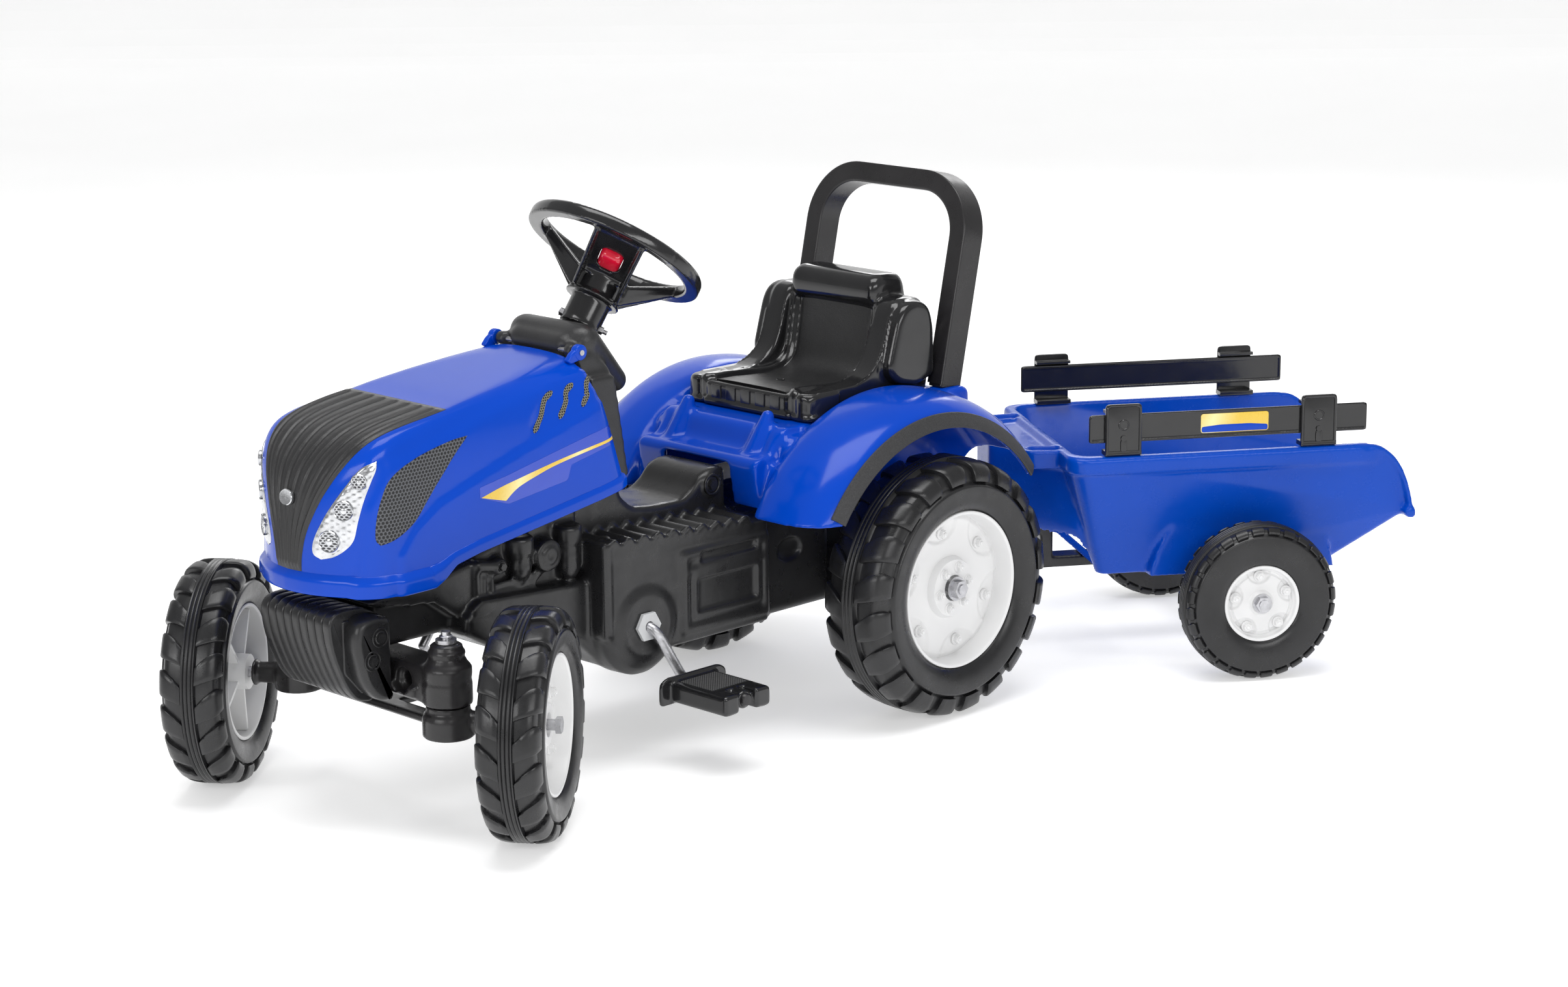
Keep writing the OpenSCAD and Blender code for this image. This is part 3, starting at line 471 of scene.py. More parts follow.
def swoosh_paint(name, warm, pale, along=(1, 0, 0.35), scale=9.0):
    """Printed foil that shades from a warm to a pale yellow."""
    m, nt, p, at = nodes_of(name, 0.3, 0.0, 0.4)
    mp = nt.nodes.new("ShaderNodeMapping")
    mp.inputs["Scale"].default_value = [a * scale for a in along]
    nt.links.new(at, mp.inputs["Vector"])
    grad = nt.nodes.new("ShaderNodeTexWave")
    grad.wave_type, grad.bands_direction = "BANDS", "DIAGONAL"
    grad.inputs["Scale"].default_value = 0.42
    grad.inputs["Distortion"].default_value = 0.6
    nt.links.new(mp.outputs[0], grad.inputs["Vector"])
    nt.links.new(ramp(nt, grad.outputs["Fac"], [(0.1, warm), (0.55, pale), (0.95, warm)]),
                 p.inputs["Base Color"])
    nt.links.new(span(nt, noise(nt, at, 240, 4), 0.24, 0.36), p.inputs["Roughness"])
    bump(nt, p, noise(nt, at, 300, 2), 0.02)
    return m


BLUE = moulded("blue_gloss_shell", (0.0, 0.056, 0.50), 0.17, vary=0.06, tone=5, coat=0.06, peel=0.02,
               scuff=0.04, specular=0.24)
BLUE_SATIN = moulded("blue_satin_tub", (0.0, 0.062, 0.47), 0.25, vary=0.08, tone=6, grain=0.015, peel=0.03,
                     specular=0.28)
BLACK = moulded("black_gloss_shell", (0.012, 0.012, 0.013), 0.17, vary=0.3, tone=9, peel=0.03, coat=0.2)
SATIN = moulded("black_satin_part", (0.016, 0.015, 0.016), 0.30, vary=0.25, tone=14, grain=0.02, peel=0.05)
CHASSIS = moulded("charcoal_blow_moulded", (0.014, 0.014, 0.015), 0.31, vary=0.22, tone=12, grain=0.05,
                  grain_scale=1100, peel=0.09, scuff=0.08)
GRAIN = moulded("charcoal_leather_grain", (0.020, 0.020, 0.021), 0.36, vary=0.2, leather=0.16,
                grain_scale=1500,
                tone=12, scuff=0.06)
PAD = moulded("black_leather_pad", (0.017, 0.017, 0.018), 0.36, vary=0.25, leather=0.28, grain_scale=1300,
              tone=16)
STRIP = moulded("black_coarse_strip", (0.03, 0.03, 0.032), 0.5, vary=0.4, tone=700, grain=0.5,
                grain_scale=900)
TYRE = moulded("tyre_semi_gloss", (0.0125, 0.0125, 0.0135), 0.31, vary=0.3, tone=20, streak=0.05, grain=0.03,
               grain_scale=700, peel=0.08, scuff=0.08)
WHITE = moulded("rim_white_satin", (0.78, 0.78, 0.78), 0.34, vary=0.035, tone=9, peel=0.03, grain=0.01)
NYLON = moulded("bush_nylon", (0.62, 0.63, 0.64), 0.42, vary=0.08, tone=60, grain=0.03)
RED = moulded("horn_red_gloss", (0.62, 0.006, 0.03), 0.13, vary=0.12, tone=40, coat=0.5)
STEEL = zinc("steel_zinc_plated", (0.56, 0.56, 0.58))
CHROME = zinc("lamp_reflector", (0.66, 0.67, 0.69), 0.16)
# The near-black cell colours of these meshes are painted shade in the holes; the pedal's lighter cells are a
# painted highlight on its studs.
MESH = honeycomb("side_mesh", 4.3, (0.004, 0.004, 0.005), (0.075, 0.078, 0.085))
VENT = honeycomb("vent_mesh", 2.9, (0.004, 0.004, 0.005), (0.16, 0.15, 0.10))
DIMPLE = honeycomb("pedal_knurl", 3.4, (0.10, 0.10, 0.10), (0.012, 0.012, 0.013), flat=(1, 1, 0), depth=-0.7)
SWOOSH = swoosh_paint("yellow_foil", (0.80, 0.54, 0.06), (0.93, 0.82, 0.38))
LAMP_DARK = honeycomb("lamp_pattern", 3.0, (0.04, 0.04, 0.045), (0.45, 0.46, 0.48), depth=0.3, rough=0.2)

# ---------------------------------------------------------------- hood
HOOD_TOP = spline([(436, 465), (485, 458), (541, 449.8), (585, 443), (620, 437), (660, 431.5), (695, 425),
                   (722, 415), (745, 397), (763, 373), (775, 345), (785, 310), (793, 250)], 46)
HOOD_SIDE = np.vstack([[(375, 240), (380, 290), (432, 462)], HOOD_TOP])
HALF_PLAN = np.vstack([[(370, 100), (560, 100)], spline([(650, 99.5), (700, 97.5), (725, 91), (744, 76),
                                                         (759, 52),
                                                        (768.5, 26), (771.5, 0)], 24)])
HOOD_PLAN = np.vstack([HALF_PLAN, (HALF_PLAN * [1, -1])[::-1]])
HALF_FRONT = np.vstack([[(100, 230)], spline([(100, 300), (99.3, 345), (96.5, 388), (92, 420), (84, 443),
                                              (70, 457),
                                             (50, 465), (26, 469.5), (0, 471.5)], 24)])
HOOD_FRONT = np.vstack([HALF_FRONT, (HALF_FRONT * [-1, 1])[::-1]])
HOOD_BOTTOM = np.array([(389, 318.5), (430, 310.5), (500, 299.5), (600, 284), (632, 277), (648, 266),
                        (662, 259), (772, 257)])


def outline_distance(outline, a, b):
    """Distance of the points (a, b) from an outline, negative inside."""
    p = np.asarray(outline, float)
    q = np.roll(p, -1, 0)
    ex, ey = (q - p).T
    out = np.empty(len(a))
    for i in range(0, len(a), 20000):
        x, y = a[i:i + 20000, None], b[i:i + 20000, None]
        wx, wy = x - p[:, 0], y - p[:, 1]
        t = np.clip((wx * ex + wy * ey) / (ex * ex + ey * ey + 1e-12), 0, 1)
        d = np.sqrt(((wx - t * ex) ** 2 + (wy - t * ey) ** 2).min(1))
        cross = ex * wy - ey * wx
        up, down = (p[:, 1] <= y) & (q[:, 1] > y) & (cross > 0), (p[:, 1] > y) & (q[:, 1] <= y) & (cross < 0)
        out[i:i + 20000] = np.where(up.sum(1) != down.sum(1), -d, d)
    return out


def blended_max(a, b, k):
    h = np.maximum(k - np.abs(a - b), 0) / k
    return np.maximum(a, b) + h * h * k / 4


def hood_field(p):
    x, y, z = p.T
    d = blended_max(outline_distance(HOOD_SIDE, x, z), outline_distance(HOOD_PLAN, x, y), 20)
    return blended_max(d, outline_distance(HOOD_FRONT, y, z), 10)


def hood_hit(start, way, far=330.0):
    """Where rays from inside leave the hood."""
    start, way = np.broadcast_arrays(np.asarray(start, float), np.asarray(way, float))
    near, away = np.zeros(len(start)), np.full(len(start), far)
    for _ in range(18):
        mid = (near + away) / 2
        inside = hood_field(start + way * mid[:, None]) < 0
        near, away = np.where(inside, mid, near), np.where(inside, away, mid)
    return start + way * near[:, None]


def step(d, width):
    t = np.clip(d / width, 0, 1)
    return t * t * (3 - 2 * t)


# Side regions bounded by the two swept edges, the vent recess
UPPER_EDGE = [(370, 462), (429, 452), (484, 446), (554, 436), (625, 416), (676, 401), (712, 396),
              (735, 350), (748, 250), (370, 250)]
LOWER_EDGE = [(370, 432), (415, 419.5), (471, 402), (543, 381.5), (603, 362.5), (652, 346), (683, 325),
              (704, 298), (707, 250), (370, 250)]
VENT_BAY = [(524, 396), (521, 409), (508, 428), (493, 439), (428, 447), (420, 430), (466, 412)]


def hood_relief(p):
    """How far the moulded steps stand out at these points."""
    x, y, z = p.T
    flank = step(np.abs(y) - 60, 20)
    d = 2.6 * step(-outline_distance(UPPER_EDGE, x, z) + 2, 8)
    d += 2.4 * step(-outline_distance(LOWER_EDGE, x, z) + 2, 7)
    d -= 1.5 * step(-outline_distance(rounded(VENT_BAY, 8), x, z), 3)
    return d * flank


def outward(p):
    """Unit normals of the hood form."""
    e = np.eye(3) * 0.8
    n = np.stack([hood_field(p + e[k]) - hood_field(p - e[k]) for k in range(3)], 1)
    return n / np.maximum(np.linalg.norm(n, axis=1), 1e-9)[:, None]


def hood_skin(start, way, lift=0.0):
    p = hood_hit(start, way)
    n = outward(p)
    return p + n * (hood_relief(p) + lift)[:, None] - n * 1.2


def hood_shell():
    rows, cols = 150, 121
    k = np.linspace(0, 1, rows)
    x = 389.5 + (704 - 389.5) * np.clip(k / 0.62, 0, 1) ** 1.0
    tilt = np.radians(17.7 + 72.3 * step(k - 0.45, 0.55))
    z = np.interp(x, HOOD_BOTTOM[:, 0], HOOD_BOTTOM[:, 1])
    a = np.radians(np.linspace(-90, 90, cols))
    start = np.stack([x, 0 * x, z], 1)[:, None] + np.zeros((1, cols, 1))
    up = np.stack([np.sin(tilt), 0 * tilt, np.cos(tilt)], 1)
    way = up[:, None] * np.cos(a)[None, :, None] + np.array([0, 1, 0]) * np.sin(a)[None, :, None]
    outer = hood_skin(start.reshape(-1, 3), way.reshape(-1, 3)).reshape(rows, cols, 3)
    inner = outer - (outward(outer.reshape(-1, 3)) * 3.2).reshape(rows, cols, 3)
    inner[-1, :, 2] = outer[-1, :, 2]
    rim = np.concatenate([outer, inner[:, ::-1]], 1)
    return grid(rim, close_v=True, caps=False), outer, inner


(shell, shell_outer, shell_inner) = hood_shell()


def sheet_between(outer, inner):
    """Closes two matching grids into one thin solid."""
    a, fa = grid(outer)
    b, fb = grid(inner)
    n, (r, c) = len(a), outer.shape[:2]
    rim = ([(i, 0) for i in range(r)] + [(r - 1, j) for j in range(1, c)]
           + [(i, c - 1) for i in range(r - 2, -1, -1)] + [(0, j) for j in range(c - 2, 0, -1)])
    ids = [i * c + j for i, j in rim]
    walls = [(ids[k], ids[(k + 1) % len(ids)], ids[(k + 1) % len(ids)] + n,
              ids[k] + n) for k in range(len(ids))]
    return np.concatenate([a, b]), fa + [tuple(v + n for v in f[::-1]) for f in fb] + walls


piece("hood_shell", sheet_between(shell_outer, shell_inner), "hood", BLUE, "hood", sharp=60)


def strip(a, b, rows, cols):
    """A flat grid between two edge lines."""
    a, b = resample(a, rows), resample(b, rows)
    s = np.linspace(0, 1, cols)[None, :, None]
    return a[:, None] * (1 - s) + b[:, None] * s


def pillow(rows, cols, edge=0.12):
    """1 inside a grid, falling to 0 round its border."""
    u, v = np.linspace(0, 1, rows)[:, None], np.linspace(0, 1, cols)[None]
    return step(np.minimum(u, 1 - u) + 0 * v, edge) * step(np.minimum(v, 1 - v) + 0 * u, edge)


def side_patch(flat, side, lift):
    """Carries a flat (x, z) grid onto the side of the hood."""
    r, c = flat.shape[:2]
    x, z = flat[..., 0].ravel(), flat[..., 1].ravel()
    start = np.stack([x, 0 * x, z], 1)
    base = hood_skin(start, np.array([[0.0, side, 0.0]]))
    n = outward(base)
    lift = np.broadcast_to(lift, (r, c)).reshape(-1, 1)
    return (base + n * lift).reshape(r, c, 3), (base - n * 0.8).reshape(r, c, 3)


def nose_patch(flat, side, lift):
    """Carries a grid of (angle from straight ahead, height) onto the corner of the nose."""
    r, c = flat.shape[:2]
    a, z = np.radians(flat[..., 0].ravel()), flat[..., 1].ravel()
    start = np.stack([650 + 0 * z, 0 * z, z], 1)
    base = hood_skin(start, np.stack([np.cos(a), side * np.sin(a), 0 * a], 1))
    n = outward(base)
    lift = np.broadcast_to(lift, (r, c)).reshape(-1, 1)
    return (base + n * lift).reshape(r, c, 3), (base - n * 0.8).reshape(r, c, 3)


def facing(point, normal):
    return Matrix.Translation(Vector(point)) @ Vector(normal).to_track_quat("Z", "Y").to_matrix().to_4x4()


# Band along the lower edge, thicker where it becomes the bumper
edge_line = np.concatenate([shell_outer[:, -1], shell_outer[-1, ::-1][1:-1], shell_outer[::-1, 0]])
edge_line = resample(edge_line[edge_line[:, 0] > 389.6], 260)
front_part = step(edge_line[:, 0] - 628, 34)
band = [(0.9, 0.0), (-0.75, 0.0), (-1.0, 0.06), (-1.0, 0.56), (-0.86, 0.68), (-0.25, 0.9), (0.9, 1.0)]
piece("hood_lower_band", sweep(edge_line, rounded(band, [0, 0.1, 0.1, 0.1, 0.1, 0.1, 0]),
                               scale=np.stack([2.8 + 4.4 * front_part, 15.0 + 10.5 * front_part], 1)),
      "hood", BLUE, sharp=50)

# Ears that take the hinge pin
ear = join(plate(np.array([(428, 466)]) + circle(8.6, 24), 63.8, 72.6),
           plate([(424, 459), (442, 455), (447, 459), (441, 466), (432, 472)], 64.6, 71.8))
piece("hood_ears", both(ear), "hood", BLUE, bevel=1.6)

# Grille panel over the nose: fluted, with thin ridges that run together at the bottom
GRILLE_EDGE = np.array([(-7.8, 79.5), (6.6, 80.5), (22.3, 78.5), (35, 74), (46, 66), (55.8, 55), (66, 42.5),
                        (79.4, 28.5),
                        (88.6, 22.5), (93.6, 20.5), (98.2, 20)])
rows, cols = 110, 171
beta = np.linspace(-7.8, 98.2, rows)
half = np.interp(beta, *spline(GRILLE_EDGE, 80).T)
v = np.linspace(-1, 1, cols)
y = half[:, None] * v[None]
start = np.stack([640 + 0 * y, y, 300 + 0 * y], -1).reshape(-1, 3)
way = np.stack([np.sin(np.radians(beta)), 0 * beta, np.cos(np.radians(beta))], 1)
base = hood_skin(start, np.repeat(way, cols, 0))
n = outward(base)
ridge = np.zeros((rows, cols))
for at in (-0.86, -0.62, -0.38, -0.13, 0.13, 0.38, 0.62, 0.86):
    off = (v[None] - at) * half[:, None]
    ridge += 1.1 * np.exp(-(off / 0.95) ** 2) - 0.7 * np.exp(-((np.abs(off) - 3.2) / 2.4) ** 2)
lift = (2.3 * pillow(rows, cols, 0.035) + ridge * pillow(rows, cols, 0.05)).reshape(-1, 1) + 0.2
piece("grille_insert", sheet_between((base + n * lift).reshape(rows, cols, 3),
                                     (base - n * 1.0).reshape(rows, cols, 3)),
      "hood", GRAIN, "grille_panel", sharp=60)
at = hood_hit([(640, 0, 355.5)], [(1, 0, 0)])
oval = put(lathe([(0, -1), (9.2, -1), (9.2, 1.6), (8.4, 2.4), (7.6, 2.2), (0, 2.7)], 48),
           Matrix.Diagonal((1.16, 0.92, 1, 1)))
piece("nose_oval", put(oval, facing(at[0] + outward(at)[0] * 2.0, outward(at)[0])), "hood", CHROME)

LAMP_FRONT = [(51.6, 399.5), (43.4, 392.5), (35.4, 373.5), (28.3, 354), (23.8, 340), (19.1, 322.5),
              (16.9, 310), (17.5, 301),
              (21.5, 296.8)]
LAMP_REAR = [(51.6, 399.5), (51.0, 390), (48.3, 378), (44.3, 357.5), (41.2, 336), (38.8, 318), (33.9, 307),
             (27.5, 299.5),
             (21.5, 296.8)]
SIDE_FRONT = [(722.5, 312.5), (727, 319.5), (725.5, 340), (720, 361), (711, 378), (693, 389.5),
              (666, 398.5), (631, 406), (607, 408)]
SIDE_REAR = [(722.5, 312.5), (711, 315), (697.5, 320.5), (680.8, 331.5), (666.6, 347.5), (653, 363),
             (641, 375.5), (626, 391), (607, 408)]
VENTS = ([(516, 399), (505.5, 411.5), (498, 426), (486, 432.5)],
         [(480, 408), (469.5, 420), (465.5, 431), (455, 436.5)],
         [(447, 415.5), (438.5, 425), (435, 435), (426, 440)])
SWOOSH_TOP = [(595.8, 340.9), (568, 348), (541, 353.3), (508, 359.5), (476, 365), (435, 371), (393.5, 376.5)]
SWOOSH_LOW = [(562.9, 332.3), (552, 340), (541.2, 345.1), (520, 351.5), (490.7, 358.7), (440, 367),
              (394.5, 373.7)]
FILM_TOP = [(597.2, 352), (560, 358.5), (500, 371), (440, 383), (393.5, 391)]
FILM_LOW = [(597.5, 341), (559.5, 328.4), (476.7, 339.5), (470.8, 355.3), (394.6, 370.8)]
FILM = moulded("blue_clear_film", (0.0, 0.043, 0.50), 0.12, vary=0.05, tone=30, coat=0.6, peel=0.02)
for name, side in SIDES.items():
    # Headlamp: reflector plate, three round lamps in rings
    flat = strip(spline(LAMP_FRONT, 60), spline(LAMP_REAR, 60), 60, 26)
    facet = 0.35 * np.sin(flat[..., 1] * 0.9) * np.cos(flat[..., 0] * 1.1)
    piece(f"headlamp_plate_{name}", sheet_between(*nose_patch(flat, side,
                                                              0.3 + (0.9 + facet) * pillow(60, 26, 0.1))),
          "hood", CHROME, f"headlamp_{name}", sharp=50)
    rings, bowls, bulbs = [], [], []
    for angle, z, r in ((42.6, 379.5, 8.2), (34.6, 349.5, 10.4), (26.6, 316.5, 11.4)):
        a = math.radians(angle)
        at = hood_hit([(650, 0, z)], [(math.cos(a), side * math.sin(a), 0)])
        m = facing(at[0], outward(at)[0])
        rings.append(put(lathe([(r - 1.5, -1), (r, -1), (r + 0.2, 1.6), (r - 0.5, 2.6), (r - 1.3, 2.0)],
                               48), m))
        bowls.append(put(lathe([(0, -1), (r - 1.2, -1), (r - 1.2, 1.6), (r * 0.6, 1.0), (0, 0.7)], 48), m))
        bulbs.append(put(lathe([(0, 0), (r * 0.34, 0), (r * 0.34, 1.2), (r * 0.2, 2.2), (0, 2.5)], 32), m))
    piece(f"headlamp_rings_{name}", join(*rings, *bulbs), "hood", CHROME)
    piece(f"headlamp_bowls_{name}", join(*bowls), "hood", LAMP_DARK)
    flat = strip(spline(SIDE_FRONT, 70), spline(SIDE_REAR, 70), 70, 24)
    piece(f"side_mesh_{name}", sheet_between(*side_patch(flat, side, 0.15 + 0.5 * pillow(70, 24, 0.04))),
          "hood", MESH, f"side_grille_{name}", sharp=60)
    slots = []
    for line in VENTS:
        line = spline(line, 26)
        line = line.mean(0) + 1.15 * (line - line.mean(0))
        ahead = np.gradient(line, axis=0)
        across = np.stack([-ahead[:, 1], ahead[:, 0]], 1) / np.linalg.norm(ahead, axis=1)[:, None]
        width = 3.1 * np.sqrt(np.clip(1 - np.linspace(-1, 1, 26) ** 8, 0.02, 1))[:, None]
        slots.append(sheet_between(*side_patch(strip(line + across * width, line - across * width, 26, 7),
                                               side, 0.45)))
    piece(f"hood_vents_{name}", join(*slots), "hood", VENT, sharp=60)
    piece(f"side_film_{name}", sheet_between(*side_patch(strip(FILM_TOP, FILM_LOW, 60, 20), side, 0.22)),
          "hood", FILM, sharp=60)
    piece(f"side_stripe_{name}", sheet_between(*side_patch(strip(spline(SWOOSH_TOP, 60),
                                                                 spline(SWOOSH_LOW, 60), 60, 10), side, 0.5)),
          "hood", SWOOSH, sharp=60)


# ---------------------------------------------------------------- wheels
# Drawn with the axle along Y and the outside at +Y
def tyre_line(r, bead, w, n=90):
    """Outer form of a tyre from its middle to the bead, as (radius, offset)."""
    d = r - bead
    return spline([(r, 0), (r, 0.12 * w), (r - 0.004 * r, 0.24 * w), (r - 0.014 * r, 0.34 * w),
                   (r - 0.04 * r, 0.42 * w),
                   (r - 0.085 * r, 0.468 * w), (bead + 0.62 * d, 0.494 * w), (bead + 0.40 * d, 0.498 * w),
                   (bead + 0.18 * d, 0.472 * w), (bead + 0.04 * d, 0.425 * w), (bead - 1, 0.37 * w)], n)


def tyre(r, bead, w, lugs, depth, band, first, last, skew, fill=0.27):
    """Carcass with a ribbed middle band, and curved lugs from the band to the shoulder."""
    line = tyre_line(r, bead, w)
    ahead = np.gradient(line, axis=0)
    normal = np.stack([ahead[:, 1], -ahead[:, 0]], 1) / np.linalg.norm(ahead, axis=1)[:, None]
    s = np.concatenate([[0], np.cumsum(np.linalg.norm(np.diff(line, axis=0), axis=1))])
    down = depth * step(line[:, 1] - band * w, 1.6) * (1 - step(s - last * s[-1], 0.06 * s[-1]))
    groove = sum(1.6 * np.exp(-((line[:, 1] - g * band * w) / 0.9) ** 2) for g in (0.0, 0.62))
    skin = line - normal * (down + groove)[:, None]
    half = np.concatenate([skin[::-1] * [1, -1], skin[1:]])
    inner = rounded([(bead - 1, 0.37 * w), (bead + 4, 0.30 * w), (bead + 4, -0.30 * w),
                     (bead - 1, -0.37 * w)], 3)
    parts = [lathe(np.concatenate([half, inner]), 144, "Y")]
    # One lug, then its copies
    nu, nv = 14, 9
    u = np.linspace(0, 1, nu)
    s0, s1 = np.interp(first * w, line[:, 1][:40], s[:40]), last * s[-1]
    su = s0 + (s1 - s0) * u
    top = np.stack([np.interp(su, s, line[:, k]) for k in (0, 1)], 1)
    nrm = np.stack([np.interp(su, s, normal[:, k]) for k in (0, 1)], 1)
    pitch = 2 * math.pi / lugs
    centre = -skew * pitch * (1 - (1 - u) ** 2)
    width = pitch * (fill - 0.05 + 0.07 * u)
    vv = np.array([-1.06, -1.0, -0.88, -0.5, 0, 0.5, 0.88, 1.0, 1.06])
    pts = np.zeros((nu + 2, nv, 3))
    for i in range(nu + 2):
        k = min(max(i - 1, 0), nu - 1)
        low = depth + 1.2 if i in (0, nu + 1) else (1.0 if k in (0, nu - 1) else 0.0)
        for j in range(nv):
            drop = depth + 1.2 if j in (0, nv - 1) else (1.0 if j in (1, nv - 2) else 0.0)
            bow = 0.10 * pitch * (1 - (2 * u[k] - 1) ** 2) * (-1 if vv[j] < 0 else 0.6)
            a = centre[k] + width[k] * vv[j] + bow * abs(vv[j])
            q = top[k] - nrm[k] * max(low, drop)
            pts[i, j] = (q[0] * math.sin(a), q[1], q[0] * math.cos(a))
    v, f = grid(pts)
    n_rows = nu + 2
    rim = ([(0, j) for j in range(nv)] + [(i, nv - 1) for i in range(1, n_rows)]
           + [(n_rows - 1, j) for j in range(nv - 2, -1, -1)] + [(i, 0) for i in range(n_rows - 2, 0, -1)])
    lug = (v, f + [tuple(i * nv + j for i, j in rim)[::-1]])
    for k in range(lugs):
        parts.append(put(lug, turn("Y", math.degrees(k * pitch))))
        parts.append(put(lug, turn("Y", math.degrees((k + 0.5) * pitch)) @ MIRROR))
    return join(*parts)


def disc(r_in, r_out, height, back, n=180, m=46):
    """A disc whose front height is a function of radius and angle, with a flat back."""
    a = np.linspace(0, 2 * math.pi, n, endpoint=False)[:, None]
    r = np.linspace(r_in, r_out, m)[None] + 0 * a
    h = height(r, a + 0 * r)
    front = np.stack([r * np.sin(a), h, r * np.cos(a)], -1)
    rear = np.stack([r * np.sin(a), back + 0 * h, r * np.cos(a)], -1)
    return grid(np.concatenate([front, rear[:, ::-1]], 1), close_u=True, close_v=True)


def pockets(r, a, n, centre, radius, soft=2.2):
    """1 inside the n round pockets between the bolts."""
    sector = 2 * math.pi / n
    b = (a - sector / 2) % sector - sector / 2
    d = np.hypot(r * np.cos(b) - centre, r * np.sin(b))
    return step(radius - d, soft)


def rim(r, w, face, bolts, bolt_r, pocket, hub, bore, inner_bolts=0, inner_r=0.0, hub_rise=9.0):
    """Moulded rim: flange, dish, scalloped disc, hub and bolts."""
    lip = 0.42 * w
    flange = rounded([(r - 9, face - 4), (r - 7.5, face + 1), (r - 5.5, lip - 5), (r - 4.5, lip - 0.6),
                      (r - 0.6, lip - 0.2),
                      (r - 0.4, -lip), (r - 4.5, -lip), (r - 5, -lip + 6), (r - 6, face - 5)], 1.6, 3)

    def height(q, a):
        h = face + 1.6 - 1.9 * pockets(q, a, bolts, *pocket)
        h = h - 1.9 * step(q - (r - 12.5), 2.5) * step(face, 1)
        h = h + hub_rise * (1 - step(q - hub + 3.0, 3.6))
        return h - (hub_rise + 5.5) * (1 - step(q - bore + 1.6, 1.8))

    parts = [lathe(flange, 144, "Y"), disc(6.2, r - 6, height, face - 4.5)]
    parts.append(ring_of(put(hex_bolt(), shift(0, face + 1.2, 0)), bolts, bolt_r))
    if inner_bolts:
        parts.append(ring_of(put(hex_bolt(), shift(0, face + hub_rise + 1.2, 0)), inner_bolts, inner_r, 30))
    # Barrel of the hub behind the disc
    parts.append(lathe([(6.2, -lip - 2), (bore + 7, -lip - 2), (bore + 9, face - 3), (6.2, face - 3)], 48,
                       "Y"))
    for k in range(bolts):
        parts.append(put(block(-2, 2, -lip + 6, face - 3, bore + 4, r - 6),
                         turn("Y", 360 * (k + 0.5) / bolts)))
    return join(*parts)


for name, side in SIDES.items():
    axle_body = "rear_axle" if side > 0 else "rear_wheel_right"
    place = TRACTOR @ on_side(side) @ shift(0, 196, 150) @ turn("Y", 11)
    piece(f"rear_tyre_tread_{name}", tyre(150, 92, 94, 20, 5.6, 0.095, 0.108, 0.60, 0.30), axle_body, TYRE,
          f"rear_tyre_{name}", place, sharp=40)
    piece(f"rear_rim_dish_{name}", rim(92, 94, 17, 6, 66, (88, 33), 36, 14, 6, 24.5, 8.0), axle_body, WHITE,
          f"rear_rim_{name}", place, sharp=34)
    wheel = f"front_wheel_{name}"
    place = knuckle_at(side) @ on_side(side) @ shift(0, 86.7, 122) @ turn("Y", 7)
    piece(f"front_tyre_tread_{name}", tyre(122, 75, 70, 18, 4.6, 0.10, 0.112, 0.60, 0.34), wheel, TYRE,
          f"front_tyre_{name}", place, sharp=40)
    piece(f"front_rim_dish_{name}", rim(75, 70, 9, 5, 50, (70, 28), 25, 12, 0, 0, 8.0), wheel, WHITE,
          f"front_rim_{name}", place, sharp=34)
    wheel = f"trailer_wheel_{name}"
    place = TRAILER @ on_side(side) @ shift(-397.6, 193, 94) @ turn("Y", 5)
    piece(f"trailer_tyre_tread_{name}", tyre(94, 47, 50, 28, 2.8, 0.16, 0.30, 0.40, 0.0, 0.33), wheel, TYRE,
          f"trailer_tyre_{name}", place, sharp=40)
    piece(f"trailer_rim_dish_{name}", rim(47, 50, 14, 5, 33, (38, 15.5), 15, 11, 0, 0, 4.0), wheel, WHITE,
          f"trailer_rim_{name}", place, sharp=34)


# ---------------------------------------------------------------- rear body, seat, hoop
def slab(outline, a, b, edge=3.0, plane="xz", steps=4):
    """A plate whose two faces have rounded edges."""
    o = np.asarray(outline, float)
    area = np.sum(o[:, 0] * np.roll(o[:, 1], -1) - o[:, 1] * np.roll(o[:, 0], -1))
    way = np.roll(o, -1, 0) - np.roll(o, 1, 0)
    inward = np.stack([-way[:, 1], way[:, 0]], 1) * np.sign(area)
    inward /= np.linalg.norm(inward, axis=1)[:, None] + 1e-9
    order = {"xz": (0, 2, 1), "yz": (1, 2, 0), "xy": (0, 1, 2)}[plane]
    k = np.linspace(0, math.pi / 2, steps + 1)
    inset = np.concatenate([1 - np.sin(k), 1 - np.sin(k[::-1])]) * edge
    at = np.concatenate([a + (1 - np.cos(k)) * edge, b - (1 - np.cos(k[::-1])) * edge])
    pts = np.zeros((len(at), len(o), 3))
    for i in range(len(at)):
        q = o + inward * inset[i]
        pts[i, :, order[0]], pts[i, :, order[1]], pts[i, :, order[2]] = q[:, 0], q[:, 1], at[i]
    return grid(pts, close_v=True, caps=True)


def ball(centre, r, n=24):
    k = np.linspace(0, math.pi, n // 2 + 1)
    return put(lathe(np.stack([r * np.sin(k), r * np.cos(k)], 1), n), shift(*centre))


